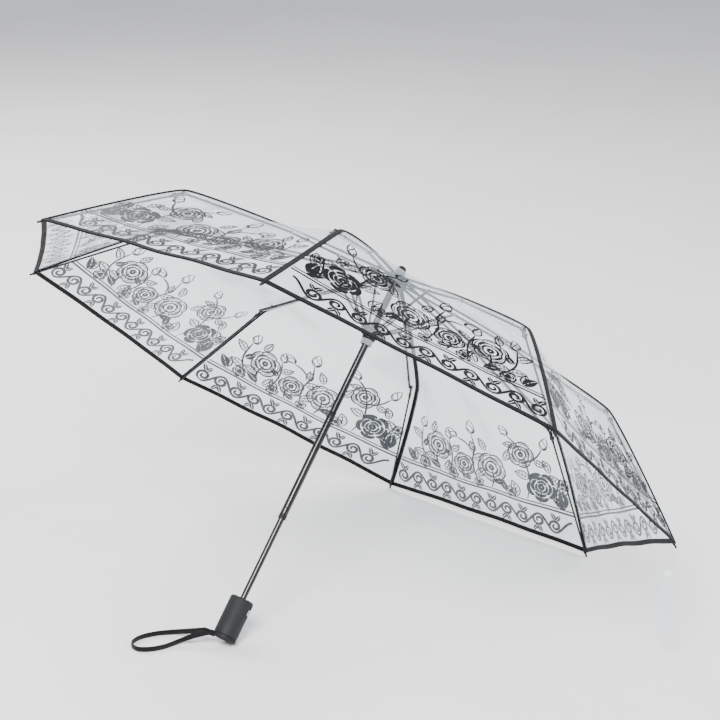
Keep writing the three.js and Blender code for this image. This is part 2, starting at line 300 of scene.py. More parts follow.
class Nodes:
    """A material's node tree, with short calls for the nodes used here."""

    def __init__(self, name):
        found = bpy.data.materials.get(name)
        self.material = found or bpy.data.materials.new(name)
        self.material.use_nodes = True
        self.tree = self.material.node_tree
        self.tree.nodes.clear()
        self.output = self.node("ShaderNodeOutputMaterial")

    def node(self, kind, **settings):
        made = self.tree.nodes.new(kind)
        for key, value in settings.items():
            setattr(made, key, value)
        return made

    def link(self, source, target):
        self.tree.links.new(source, target)

    def where(self, output="Object"):
        return self.node("ShaderNodeTexCoord").outputs[output]

    def noise(self, scale, detail=4.0, stretch=None, output="Object"):
        texture = self.node("ShaderNodeTexNoise")
        texture.inputs["Scale"].default_value = scale
        texture.inputs["Detail"].default_value = detail
        source = self.where(output)
        if stretch:
            mapping = self.node("ShaderNodeMapping")
            mapping.inputs["Scale"].default_value = stretch
            self.link(source, mapping.inputs["Vector"])
            source = mapping.outputs["Vector"]
        self.link(source, texture.inputs["Vector"])
        return texture.outputs["Fac"]

    def ranged(self, value, low, high, start=0.3, end=0.7):
        remap = self.node("ShaderNodeMapRange")
        for name, number in (("From Min", start), ("From Max", end), ("To Min", low), ("To Max", high)):
            remap.inputs[name].default_value = number
        self.link(value, remap.inputs["Value"])
        return remap.outputs["Result"]

    def tones(self, value, dark, light, start=0.35, end=0.65):
        ramp = self.node("ShaderNodeValToRGB")
        first, second = ramp.color_ramp.elements
        first.position, first.color = start, (*dark, 1)
        second.position, second.color = end, (*light, 1)
        self.link(value, ramp.inputs["Fac"])
        return ramp.outputs["Color"]

    def bump(self, height, strength, distance):
        made = self.node("ShaderNodeBump")
        made.inputs["Strength"].default_value = strength
        made.inputs["Distance"].default_value = distance
        self.link(height, made.inputs["Height"])
        return made.outputs["Normal"]

    def math(self, operation, first, second):
        made = self.node("ShaderNodeMath", operation=operation)
        for socket, value in zip(made.inputs, (first, second)):
            if isinstance(value, (int, float)):
                socket.default_value = value
            else:
                self.link(value, socket)
        return made.outputs[0]

    def principled(self, **values):
        shader = self.node("ShaderNodeBsdfPrincipled")
        for key, value in values.items():
            shader.inputs[key.replace("_", " ").title().replace("Ior", "IOR")].default_value = value
        self.link(shader.outputs["BSDF"], self.output.inputs["Surface"])
        return shader


def shaded(colour, factor):
    return tuple(min(1.0, channel * factor) for channel in colour)


def moulded(name, colour, smoothness, grain=900.0, grain_depth=0.05, tone=0.8, coat=0.0):
    """Moulded plastic or rubber: fine grain, uneven gloss and a slight drift of tone."""
    m = Nodes(name)
    shader = m.principled(coat_weight=coat, coat_roughness=0.12, specular_ior_level=0.24)
    m.link(m.tones(m.noise(14.0), shaded(colour, tone), shaded(colour, 2 - tone)), shader.inputs["Base Color"])
    m.link(m.ranged(m.noise(60.0, 6.0), smoothness - 0.07, smoothness + 0.09), shader.inputs["Roughness"])
    m.link(m.bump(m.noise(grain, 3.0), 0.35, grain_depth * MM), shader.inputs["Normal"])
    return m.material


def painted_steel():
    """Gloss black paint on thin steel, with the faint ripple that dipped paint keeps."""
    m = Nodes("gloss black paint")
    shader = m.principled(specular_ior_level=0.4, coat_weight=0.35, coat_roughness=0.06)
    m.link(m.tones(m.noise(30.0), (0.003, 0.003, 0.004), (0.008, 0.008, 0.010)), shader.inputs["Base Color"])
    m.link(m.ranged(m.noise(120.0, 6.0), 0.16, 0.32), shader.inputs["Roughness"])
    m.link(m.bump(m.noise(260.0, 2.0), 0.12, 0.04 * MM), shader.inputs["Normal"])
    return m.material


def bright_metal(name, colour, roughness):
    m = Nodes(name)
    shader = m.principled(metallic=1.0)
    m.link(m.tones(m.noise(90.0), shaded(colour, 0.8), shaded(colour, 1.1)), shader.inputs["Base Color"])
    m.link(m.ranged(m.noise(400.0, 5.0, (1, 1, 6)), roughness - 0.08, roughness + 0.12), shader.inputs["Roughness"])
    m.link(m.bump(m.noise(700.0, 2.0), 0.1, 0.02 * MM), shader.inputs["Normal"])
    return m.material


def woven(name, colour, pitch, depth, sheen=0.05):
    """A woven tape: ribs across it and yarns along it, on the tape's own coordinates."""
    m = Nodes(name)
    shader = m.principled(roughness=0.85, sheen_weight=sheen, sheen_roughness=0.5, specular_ior_level=0.12)
    source = m.where("UV")
    rows = m.node("ShaderNodeTexWave", bands_direction="X")
    rows.inputs["Scale"].default_value = 0.314 / pitch
    rows.inputs["Distortion"].default_value = 0.6
    yarns = m.node("ShaderNodeTexWave", bands_direction="Y")
    yarns.inputs["Scale"].default_value = 0.24 / pitch
    yarns.inputs["Distortion"].default_value = 0.4
    for wave in (rows, yarns):
        m.link(source, wave.inputs["Vector"])
    weave = m.math("MULTIPLY", rows.outputs["Fac"], m.math("ADD", 0.35, yarns.outputs["Fac"]))
    fibres = m.math("ADD", weave, m.math("MULTIPLY", m.noise(2200.0, 3.0), 0.35))
    m.link(m.tones(fibres, shaded(colour, 0.45), shaded(colour, 1.6), 0.2, 1.1), shader.inputs["Base Color"])
    m.link(m.bump(fibres, 0.6, depth), shader.inputs["Normal"])
    return m.material


def thread(name, colour):
    m = Nodes(name)
    shader = m.principled(roughness=0.6, specular_ior_level=0.2)
    m.link(m.tones(m.noise(1500.0), shaded(colour, 0.6), shaded(colour, 1.5)), shader.inputs["Base Color"])
    m.link(m.bump(m.noise(2600.0, 2.0), 0.4, 0.05 * MM), shader.inputs["Normal"])
    return m.material


def clear_film(name, tint, haze, facing_share, edge_share):
    """Clear vinyl film: nearly all of it lets light through, with a milky haze and a gloss that
    grows towards a glancing view, over soft creases from folding. The haze colour is darkened
    in soft blue-grey patches, which are painted reflections and painted wrinkle shade."""
    m = Nodes(name)
    shader = m.principled(roughness=0.09, specular_ior_level=0.75, ior=1.5)
    # painted reflections and painted wrinkle shade: noise patches that darken the film's haze colour down to 0.42 of
    # itself
    painted_reflection_patches = m.noise(8.0, 4.0, (0.7, 1.7, 1.1))
    m.link(m.tones(painted_reflection_patches, shaded(haze, 0.42), haze, 0.36, 0.5), shader.inputs["Base Color"])
    creases = m.math("ADD", m.noise(9.0, 3.0, (1.0, 2.2, 1.4)), m.math("MULTIPLY", m.noise(48.0, 2.0), 0.16))
    m.link(m.ranged(m.noise(7.0, 5.0), 0.05, 0.2), shader.inputs["Roughness"])
    normal = m.bump(creases, 0.5, 5 * MM)
    m.link(normal, shader.inputs["Normal"])
    clear = m.node("ShaderNodeBsdfTransparent")
    clear.inputs["Color"].default_value = (*tint, 1)
    rim = m.node("ShaderNodeLayerWeight")
    rim.inputs["Blend"].default_value = 0.32
    m.link(normal, rim.inputs["Normal"])
    share = m.ranged(rim.outputs["Facing"], facing_share, edge_share, 0.0, 1.0)
    # the painted reflection patches also make the film less clear where they are darkest
    share = m.math("ADD", share, m.ranged(painted_reflection_patches, 0.16, 0.0, 0.36, 0.46))
    mix = m.node("ShaderNodeMixShader")
    m.link(share, mix.inputs["Fac"])
    m.link(clear.outputs["BSDF"], mix.inputs[1])
    m.link(shader.outputs["BSDF"], mix.inputs[2])
    m.link(mix.outputs["Shader"], m.output.inputs["Surface"])
    return m.material


def printed_ink(name, colour):
    """Screen ink: almost black, a little thin in places, with a soft gloss."""
    m = Nodes(name)
    shader = m.principled(specular_ior_level=0.15)
    m.link(m.tones(m.noise(160.0, 5.0), shaded(colour, 0.5), shaded(colour, 2.0)), shader.inputs["Base Color"])
    m.link(m.ranged(m.noise(300.0), 0.3, 0.5), shader.inputs["Roughness"])
    m.link(m.bump(m.noise(900.0, 2.0), 0.15, 0.02 * MM), shader.inputs["Normal"])
    return m.material


def fibre_rod():
    """Black glass-fibre rod: glossy, with faint streaks along it."""
    m = Nodes("glass-fibre rod")
    shader = m.principled(specular_ior_level=0.35)
    m.link(m.tones(m.noise(700.0, 3.0), (0.004, 0.004, 0.005), (0.014, 0.014, 0.016)), shader.inputs["Base Color"])
    m.link(m.ranged(m.noise(260.0), 0.25, 0.45), shader.inputs["Roughness"])
    m.link(m.bump(m.noise(1100.0, 2.0), 0.2, 0.03 * MM), shader.inputs["Normal"])
    return m.material


def backdrop_paper():
    m = Nodes("pale backdrop")
    shader = m.principled(roughness=0.9, specular_ior_level=0.2)
    m.link(m.tones(m.noise(2.0), (0.80, 0.80, 0.80), (0.83, 0.83, 0.83)), shader.inputs["Base Color"])
    return m.material


# ---- what a user may change ----------------------------------------------------------


class UmbrellaSizes(bpy.types.PropertyGroup):
    film_sag: bpy.props.FloatProperty(
        name="Film sag", description="How far the film hangs below the ribs at the elbows",
        default=11 * MM, min=0.0, max=0.03, unit="LENGTH")
    tape_width: bpy.props.FloatProperty(
        name="Seam tape width", description="Width of the tape along each rib",
        default=7.0 * MM, min=0.002, max=0.012, unit="LENGTH")
    hem_width: bpy.props.FloatProperty(
        name="Hem width", description="Width of the binding round the edge",
        default=7.4 * MM, min=0.002, max=0.012, unit="LENGTH")
    stitch_pitch: bpy.props.FloatProperty(
        name="Stitch pitch", description="Distance from one stitch to the next",
        default=4.2 * MM, min=0.002, max=0.02, unit="LENGTH")
    stitch_length: bpy.props.FloatProperty(
        name="Stitch length", description="Length of one stitch",
        default=3.0 * MM, min=0.001, max=0.02, unit="LENGTH")
    thread_radius: bpy.props.FloatProperty(
        name="Thread radius", description="Half the thickness of the thread",
        default=0.22 * MM, min=0.0001, max=0.001, unit="LENGTH")
    rivet_radius: bpy.props.FloatProperty(
        name="Rivet radius", description="Half the width of a hinge rivet's head",
        default=1.5 * MM, min=0.0005, max=0.004, unit="LENGTH")
    folded_share: bpy.props.FloatProperty(
        name="Folded share", description="What is left of the film's width when it is folded",
        default=0.05, min=0.02, max=1.0, subtype="FACTOR")


class UmbrellaColours(bpy.types.PropertyGroup):
    film_tint: bpy.props.FloatVectorProperty(
        name="Film tint", description="Light that the film lets through",
        default=(0.93, 0.955, 0.965), size=3, min=0, max=1, subtype="COLOR")
    film_haze: bpy.props.FloatVectorProperty(
        name="Film haze", description="Milky colour of the film itself",
        default=(0.74, 0.82, 0.88), size=3, min=0, max=1, subtype="COLOR")
    ink: bpy.props.FloatVectorProperty(
        name="Ink", description="Colour of the printed ornament",
        default=(0.004, 0.004, 0.005), size=3, min=0, max=1, subtype="COLOR")
    tape: bpy.props.FloatVectorProperty(
        name="Tape", description="Colour of the hem and the seam tape",
        default=(0.005, 0.005, 0.006), size=3, min=0, max=1, subtype="COLOR")
    handle: bpy.props.FloatVectorProperty(
        name="Handle", description="Colour of the handle's barrel",
        default=(0.011, 0.012, 0.013), size=3, min=0, max=1, subtype="COLOR")
    webbing: bpy.props.FloatVectorProperty(
        name="Webbing", description="Colour of the wrist strap",
        default=(0.005, 0.005, 0.006), size=3, min=0, max=1, subtype="COLOR")


def sizes():
    return bpy.context.scene.umbrella_sizes


def colours():
    return bpy.context.scene.umbrella_colours


# ---- the film's surface --------------------------------------------------------------

# Bars are counted from the crown: 0 to 1 along the inner rib, 1 to 2 along the middle rib
# and 2 to 3 along the outer rib, down to the hem.
BARS = ("inner", "middle", "outer")
SAMPLES = 240
SEAM_DRIFT = 8 * MM  # the seam lies beside the rib at the elbow
HEM_ARCH = 5 * MM
FILM_RIPPLE = 0.9 * MM
SEAM_THICKNESS = 2.2 * MM  # tape and film folded over each other
HEM_THICKNESS = 2.8 * MM


def film_line():
    """Distance from the shaft and height of the film over a rib, evenly spaced along each bar."""
    knots = [np.array([8.6 * MM, 9.0 * MM]),
             KNEE + np.array([0.0, 4.2 * MM]),
             ELBOW + np.array([3.2 * MM, 3.2 * MM]),
             np.array([TIP[0] - 3.5 * MM, TIP[1] + 5.4 * MM])]
    ways = [unit(b - a) for a, b in zip(knots, knots[1:])]
    slopes = [ways[0], unit(ways[0] + ways[1]), unit(ways[1] + ways[2]), ways[2] + np.array([0.0, -0.06])]
    speed = [1.0, 0.8, 0.3, 1.0]  # a slower pass at the elbow gives a tighter bend
    radius, height = [], []
    for bar in range(3):
        start, end = knots[bar], knots[bar + 1]
        length = np.linalg.norm(end - start)
        t = np.linspace(0, 1, SAMPLES + 1)[:, None]
        leave = slopes[bar] * length * speed[bar]
        arrive = slopes[bar + 1] * length * speed[bar + 1]
        line = ((2 * t**3 - 3 * t**2 + 1) * start + (t**3 - 2 * t**2 + t) * leave
                + (3 * t**2 - 2 * t**3) * end + (t**3 - t**2) * arrive)
        steps = np.linalg.norm(np.diff(line, axis=0), axis=1)
        along = np.concatenate([[0.0], np.cumsum(steps)])
        even = np.linspace(0, along[-1], SAMPLES + 1)
        first = 0 if bar == 0 else 1
        radius.extend(np.interp(even, along, line[:, 0])[first:])
        height.extend(np.interp(even, along, line[:, 1])[first:])
    return np.array(radius), np.array(height)


LINE_RADIUS, LINE_HEIGHT = film_line()
LINE_AT = np.linspace(0, 3, len(LINE_RADIUS))
HEM_TO_ELBOW = float(np.sum(np.hypot(np.diff(LINE_RADIUS[2 * SAMPLES:]), np.diff(LINE_HEIGHT[2 * SAMPLES:]))))
SAG_SHAPE = np.polyfit([0, 1, 2, 3], [0.0, 0.42, 1.0, 0.1], 3)


def rib_line(at):
    """Distance from the shaft and height of the film over a rib."""
    at = np.asarray(at, float)
    return np.interp(at, LINE_AT, LINE_RADIUS), np.interp(at, LINE_AT, LINE_HEIGHT)


def seam_turn(at, bearing):
    """The film slips downhill over the elbows: how far each point's bearing is moved by it."""
    radius, _ = rib_line(at)
    slip = SEAM_DRIFT * np.sin(math.pi * (np.asarray(at) / 3) ** 1.6) * np.cos(bearing - rib_angle(1))
    return -slip / np.maximum(radius, 20 * MM)


def film_surface(panel, across, at):
    """Points of a panel: across runs from -1 on the rib before it to 1 on the rib after it."""
    across, at = np.broadcast_arrays(np.asarray(across, float), np.asarray(at, float))
    bow = 1 - across**2
    at = at - HEM_ARCH / HEM_TO_ELBOW * bow * np.clip(at - 2, 0, 1)
    radius, height = rib_line(at)
    sag = sizes().film_sag * np.polyval(SAG_SHAPE, at) * bow
    ripple = FILM_RIPPLE * bow * np.sin(9.5 * across + 1.7 * at + 2.1 * panel) * np.sin(2.4 * at + panel)
    along = radius * math.cos(PITCH / 2) - 0.3 * sag
    aside = radius * math.sin(PITCH / 2) * across
    bearing = panel * PITCH + np.arctan2(aside, along)
    return place(bearing + seam_turn(at, bearing), np.hypot(along, aside), height - sag + ripple)


def film_normals(panel, across, at):
    """Unit normals of a panel, pointing out of the umbrella."""
    step = 0.012
    across, at = np.broadcast_arrays(np.asarray(across, float), np.asarray(at, float))
    low, high = np.maximum(at - step, 0), np.minimum(at + step, 3)
    down = film_surface(panel, across, high) - film_surface(panel, across, low)
    left, right = np.maximum(across - step, -1), np.minimum(across + step, 1)
    over = film_surface(panel, right, at) - film_surface(panel, left, at)
    normal = np.cross(down, over)
    return normal / np.linalg.norm(normal, axis=1)[:, None]


def on_film(panel, across, at, lift):
    return film_surface(panel, across, at) + film_normals(panel, across, at) * lift


def panel_before(rib):
    return rib - 1 if rib > 1 else RIBS


def gather(piece, rib, bar):
    """The piece rides on one bar of a rib."""
    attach(piece, f"{BARS[bar]}_rib_{rib}")
    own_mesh(piece)
    return piece


# ---- repeated details made with Geometry Nodes ---------------------------------------


def new_tree(name, inputs):
    tree = bpy.data.node_groups.new(name, "GeometryNodeTree")
    tree.interface.new_socket("Geometry", in_out="INPUT", socket_type="NodeSocketGeometry")
    for label, kind in inputs:
        tree.interface.new_socket(label, in_out="INPUT", socket_type=kind)
    tree.interface.new_socket("Geometry", in_out="OUTPUT", socket_type="NodeSocketGeometry")
    return tree, tree.nodes.new("NodeGroupInput"), tree.nodes.new("NodeGroupOutput")


def finish_tree(tree, group_in, group_out, instances):
    realize = tree.nodes.new("GeometryNodeRealizeInstances")
    dressed = tree.nodes.new("GeometryNodeSetMaterial")
    tree.links.new(instances, realize.inputs["Geometry"])
    tree.links.new(realize.outputs["Geometry"], dressed.inputs["Geometry"])
    tree.links.new(group_in.outputs["Material"], dressed.inputs["Material"])
    tree.links.new(dressed.outputs["Geometry"], group_out.inputs["Geometry"])
    return tree


def stitch_tree():
    """Stitches of thread laid end to end along every line of the mesh."""
    found = bpy.data.node_groups.get("Stitches")
    if found:
        return found
    tree, group_in, group_out = new_tree("Stitches", [
        ("Pitch", "NodeSocketFloat"), ("Length", "NodeSocketFloat"), ("Thread Radius", "NodeSocketFloat"),
        ("Material", "NodeSocketMaterial")])
    link, add = tree.links.new, tree.nodes.new
    line = add("GeometryNodeMeshToCurve")
    spaced = add("GeometryNodeResampleCurve")
    spaced.mode = "LENGTH"
    onto = add("GeometryNodeInstanceOnPoints")
    ball = add("GeometryNodeMeshUVSphere")
    ball.inputs["Segments"].default_value = 6
    ball.inputs["Rings"].default_value = 4
    ball.inputs["Radius"].default_value = 1.0
    tangent_of = add("GeometryNodeInputTangent")
    turn = add("FunctionNodeAlignRotationToVector")
    turn.axis = "Z"
    scale = add("ShaderNodeCombineXYZ")
    half = add("ShaderNodeMath")
    half.operation = "MULTIPLY"
    half.inputs[1].default_value = 0.5
    link(group_in.outputs["Geometry"], line.inputs["Mesh"])
    link(line.outputs["Curve"], spaced.inputs["Curve"])
    link(group_in.outputs["Pitch"], spaced.inputs["Length"])
    link(spaced.outputs["Curve"], onto.inputs["Points"])
    link(ball.outputs["Mesh"], onto.inputs["Instance"])
    link(tangent_of.outputs["Tangent"], turn.inputs["Vector"])
    link(turn.outputs["Rotation"], onto.inputs["Rotation"])
    link(group_in.outputs["Length"], half.inputs[0])
    link(group_in.outputs["Thread Radius"], scale.inputs["X"])
    link(group_in.outputs["Thread Radius"], scale.inputs["Y"])
    link(half.outputs[0], scale.inputs["Z"])
    link(scale.outputs["Vector"], onto.inputs["Scale"])
    return finish_tree(tree, group_in, group_out, onto.outputs["Instances"])


def rivet_tree():
    """A domed rivet head at each point, turned to face along the point's own axis."""
    found = bpy.data.node_groups.get("Rivets")
    if found:
        return found
    tree, group_in, group_out = new_tree("Rivets", [
        ("Radius", "NodeSocketFloat"), ("Height", "NodeSocketFloat"), ("Material", "NodeSocketMaterial")])
    link, add = tree.links.new, tree.nodes.new
    onto = add("GeometryNodeInstanceOnPoints")
    ball = add("GeometryNodeMeshUVSphere")
    ball.inputs["Segments"].default_value = 12
    ball.inputs["Rings"].default_value = 6
    ball.inputs["Radius"].default_value = 1.0
    facing = add("GeometryNodeInputNamedAttribute")
    facing.data_type = "FLOAT_VECTOR"
    facing.inputs["Name"].default_value = "facing"
    turn = add("FunctionNodeAlignRotationToVector")
    turn.axis = "Z"
    scale = add("ShaderNodeCombineXYZ")
    link(group_in.outputs["Geometry"], onto.inputs["Points"])
    link(ball.outputs["Mesh"], onto.inputs["Instance"])
    link(facing.outputs["Attribute"], turn.inputs["Vector"])
    link(turn.outputs["Rotation"], onto.inputs["Rotation"])
    link(group_in.outputs["Radius"], scale.inputs["X"])
    link(group_in.outputs["Radius"], scale.inputs["Y"])
    link(group_in.outputs["Height"], scale.inputs["Z"])
    link(scale.outputs["Vector"], onto.inputs["Scale"])
    return finish_tree(tree, group_in, group_out, onto.outputs["Instances"])


def grown(name, corners, edges, tree, values, facing=None):
    """A plain mesh of what the tree grows on the given points and lines."""
    seed = bpy.data.meshes.new(name + "_seed")
    seed.from_pydata([tuple(corner) for corner in corners], edges, [])
    if facing is not None:
        attribute = seed.attributes.new("facing", "FLOAT_VECTOR", "POINT")
        attribute.data.foreach_set("vector", np.asarray(facing, float).ravel())
    holder = bpy.data.objects.new(name + "_seed", seed)
    bpy.context.scene.collection.objects.link(holder)
    modifier = holder.modifiers.new("grow", "NODES")
    modifier.node_group = tree
    sockets = {item.name: item.identifier for item in tree.interface.items_tree if item.in_out == "INPUT"}
    for label, value in values.items():
        modifier[sockets[label]] = value
    graph = bpy.context.evaluated_depsgraph_get()
    mesh = bpy.data.meshes.new_from_object(holder.evaluated_get(graph))
    mesh.name = name
    mesh.shade_smooth()
    bpy.data.objects.remove(holder)
    bpy.data.meshes.remove(seed)
    piece = bpy.data.objects.new(name, mesh)
    bpy.context.scene.collection.objects.link(piece)
    return piece


def stitched(name, lines, material):
    """Stitches along each of the lines."""
    corners, edges = [], []
    for line in lines:
        first = len(corners)
        corners.extend(line)
        edges.extend((first + step, first + step + 1) for step in range(len(line) - 1))
    values = {"Pitch": sizes().stitch_pitch, "Length": sizes().stitch_length,
              "Thread Radius": sizes().thread_radius, "Material": material}
    return grown(name, corners, edges, stitch_tree(), values)


def riveted(name, points, facing, material, radius=None, height=0.7 * MM):
    """Rivet heads at the points."""
    values = {"Radius": radius or sizes().rivet_radius, "Height": height, "Material": material}
    return grown(name, points, [], rivet_tree(), values, facing)


# ---- the printed ornament ------------------------------------------------------------


class Drawing:
    """Flat strokes and filled shapes. X runs from a panel's middle line, Y up from its hem."""

    WEIGHT = 2.0  # how much bolder each stroke prints than it is drawn

    def __init__(self):
        self.points = []
        self.faces = []

    def strip(self, line, width, tapered=True):
        """A stroke of ink along a line, thinner towards its ends."""
        line = np.array(line, float)
        way = directions(line)
        side = np.stack([-way[:, 1], way[:, 0]], axis=1)
        share = np.linspace(0, 1, len(line))
        swell = 0.35 + 0.65 * np.sin(math.pi * share) ** 0.5 if tapered else np.ones(len(line))
        first = len(self.points)
        for point, across, thick in zip(line, side, swell * width * self.WEIGHT / 2):
            self.points.append(point + across * thick)
            self.points.append(point - across * thick)
        for step in range(len(line) - 1):
            low = first + 2 * step
            self.faces.append([low, low + 1, low + 3, low + 2])

    def curve(self, points, width, per_span=7):
        self.strip(curve_through(points, per_span), width)

    def fill(self, outline):
        corners = [Vector((point[0], point[1], 0)) for point in outline]
        first = len(self.points)
        self.points.extend(np.array(point, float) for point in outline)
        self.faces.extend([first + index for index in face] for face in tessellate_polygon([corners]))


def polar(centre, radius, angle):
    return np.stack([centre[0] + radius * np.cos(angle), centre[1] + radius * np.sin(angle)], axis=-1)


def rose(drawing, centre, size, turn, dark=False):
    """Rings of overlapping petals round a spiral heart."""
    rings = [(1.0, 5, 0.0, 0.70), (0.70, 4, 0.4, 0.45), (0.45, 3, 0.15, 0.26)]
    t = np.linspace(0, 1, 15)
    for reach, petals, offset, within in rings:
        for petal in range(petals):
            start = turn + 2 * math.pi * (petal + offset) / petals
            span = 2 * math.pi / petals * (0.955 if dark else 1.1)
            lobe = size * reach * (0.82 + 0.18 * np.sin(math.pi * t) ** 0.6)
            if dark:
                outer = polar(centre, lobe - 0.3 * MM, start + span * t)
                inner = polar(centre, np.full(15, size * within + 0.2 * MM), start + span * t)
                drawing.fill(np.vstack([outer, inner[::-1]]))
                continue
            root = polar(centre, np.array([size * reach * 0.66]), np.array([start - 0.12]))
            drawing.strip(np.vstack([root, polar(centre, lobe, start + span * t)]), 1.5 * MM)
            fold = slice(3, 12)
            drawing.strip(polar(centre, 0.86 * lobe[fold], start + span * t[fold] + 0.05), 0.9 * MM)
    t = np.linspace(0, 1, 44)
    drawing.strip(polar(centre, size * (0.03 + 0.2 * t), turn + 4.6 * math.pi * t), (1.6 if dark else 1.2) * MM)


def leaf(drawing, root, heading, length, width, dark=False):
    """A pointed leaf with a midrib and side veins."""
    ahead = np.array([math.cos(heading), math.sin(heading)])
    aside = np.array([-ahead[1], ahead[0]])
    t = np.linspace(0, 1, 15)
    half = width / 2 * np.sin(math.pi * t**0.8) ** 0.9
    middle = np.array(root) + np.outer(t * length, ahead) + np.outer(0.06 * length * np.sin(math.pi * t), aside)
    for sign in (1, -1):
        edge = middle + sign * np.outer(half, aside)
        if dark:
            inner = middle + sign * np.outer(np.minimum(half, 0.35 * MM), aside)
            drawing.fill(np.vstack([edge[1:-1], inner[-2:0:-1]]))
        else:
            drawing.strip(edge, 1.15 * MM)
            for step in (3, 6, 9):
                drawing.strip(np.linspace(middle[step], middle[step + 2] + 0.8 * (edge[step + 2] - middle[step + 2]), 4),
                              0.6 * MM)
    if not dark:
        drawing.strip(middle, 0.85 * MM)


def bud(drawing, root, heading, size):
    """A closed bud in its sepals."""
    ahead = np.array([math.cos(heading), math.sin(heading)])
    aside = np.array([-ahead[1], ahead[0]])
    t = np.linspace(0, 1, 17)
    for sign in (1, -1):
        belly = sign * 0.42 * size * np.sin(math.pi * t) ** 0.8 * (1.15 - 0.5 * t)
        drawing.strip(np.array(root) + np.outer(t * 1.35 * size, ahead) + np.outer(belly, aside), 1.0 * MM)
        leaf(drawing, root, heading + sign * 0.75, 0.75 * size, 0.26 * size, dark=True)
    wrap = 0.3 * size * np.cos(math.pi * t)
    drawing.strip(np.array(root) + np.outer((0.35 + 0.8 * t) * size, ahead) + np.outer(wrap, aside), 0.8 * MM)


def vine(drawing, reach):
    """A running wave with a curl in every bend and leaves outside it, between hem and border."""
    wave, middle, swing = 58 * MM, 28 * MM, 13 * MM
    along = np.linspace(-reach, reach, 190)
    drawing.strip(np.stack([along, middle + swing * np.sin(2 * math.pi * along / wave)], axis=1), 2.1 * MM, False)
    t = np.linspace(0, 1, 34)
    bends = int(round(4 * reach / wave))
    for index in range(bends):
        x = (index - bends // 2 + 0.5) * wave / 2
        side = 1 if (index - bends // 2) % 2 == 0 else -1
        curl = polar((x, middle + side * 1.5 * MM), (11.2 - 8.2 * t) * MM, side * (math.pi / 2 - 8.4 * t))
        drawing.strip(curl, 2.5 * MM)
        drawing.fill(polar(curl[-1], np.full(12, 1.9 * MM), np.arange(12) * math.pi / 6))
        for turn, length in ((1.0, 17), (2.15, 15)):
            leaf(drawing, (x, middle - side * 8 * MM), -side * turn, length * MM, 7.5 * MM, dark=True)


def ornament():
    """The print of one panel: a scroll along the hem, a double border, and roses above it."""
    drawing = Drawing()
    vine(drawing, 160 * MM)
    for height, reach, width in ((54.5 * MM, 166 * MM, 1.7 * MM), (60.0 * MM, 164 * MM, 1.2 * MM)):
        line = np.stack([np.linspace(-reach, reach, 60), np.full(60, height)], axis=1)
        drawing.strip(line, width, False)

    def at(x, y):
        return np.array([x, y]) * MM

    # stems first, then the leaves on them
    stems = [
        [(-104, 62), (-106, 76), (-104, 90)], [(-82, 62), (-86, 96), (-80, 122), (-72, 140)],
        [(-78, 126), (-98, 142), (-106, 156)], [(-74, 140), (-60, 158), (-46, 168)], [(-16, 62), (-20, 80), (-16, 96)],
        [(10, 62), (20, 100), (16, 130), (22, 152)], [(18, 122), (34, 134), (50, 138)], [(36, 62), (40, 76), (36, 88)],
        [(84, 62), (92, 84), (88, 104)], [(104, 62), (122, 96), (120, 132)], [(-134, 62), (-132, 88), (-138, 112)],
        [(64, 62), (60, 100), (66, 128)],
    ]
    for points in stems:
        drawing.curve([at(*point) for point in points], 1.5 * MM)
    leaves = [
        (-146, 62, 1.3, 34, 18, True), (-150, 62, 0.5, 30, 16, True), (-133, 84, 2.4, 26, 13, False),
        (-136, 98, 0.8, 24, 12, False), (-84, 104, 2.7, 22, 11, True), (-84, 100, 0.3, 26, 13, False),
        (-92, 134, 3.4, 22, 10, False), (-60, 152, 0.0, 22, 10, False), (-64, 62, 1.2, 30, 15, False),
        (-44, 66, 0.9, 24, 12, True), (-20, 76, 2.8, 24, 12, True), (-40, 122, 1.9, 24, 11, False),
        (14, 78, 2.4, 26, 13, False), (19, 108, 2.6, 24, 12, False), (18, 118, 1.3, 22, 11, False),
        (22, 66, 0.3, 20, 10, True), (54, 66, 0.9, 24, 12, False), (61, 98, 0.4, 20, 10, True),
        (62, 110, 2.5, 22, 10, False), (74, 66, 1.9, 24, 12, False), (84, 66, 0.4, 26, 13, True),
        (92, 80, 0.2, 24, 12, False), (114, 78, 0.3, 26, 13, False), (120, 98, 2.2, 22, 11, True),
        (122, 110, 0.6, 24, 12, False), (136, 62, 0.9, 28, 14, True), (140, 62, 1.7, 24, 12, False),
        (-120, 118, 1.0, 24, 11, False), (-4, 128, 1.0, 24, 11, False), (100, 130, 1.9, 22, 10, False),
    ]
    for x, y, heading, length, width, dark in leaves:
        leaf(drawing, at(x, y), heading, length * MM, width * MM, dark)
    roses = [
        (-106, 90, 27, 0.3, True), (-70, 140, 22, 1.1, False), (-16, 100, 26, 0.2, False), (36, 92, 20, 0.5, False),
        (88, 108, 24, 0.9, False), (-52, 68, 11, 0.6, True), (8, 66, 10, 0.8, True), (58, 67, 11, 0.1, True),
        (116, 68, 12, 0.4, True), (-142, 104, 10, 0.2, True),
    ]
    for x, y, size, turn, dark in roses:
        rose(drawing, at(x, y), size * MM, turn, dark)
    buds = [(-106, 156, 1.9, 17), (-46, 168, 0.9, 16), (22, 152, 1.5, 19), (50, 138, 0.5, 16), (120, 132, 1.9, 16),
            (66, 128, 1.4, 15)]
    for x, y, heading, size in buds:
        bud(drawing, at(x, y), heading, size * MM)
    return drawing


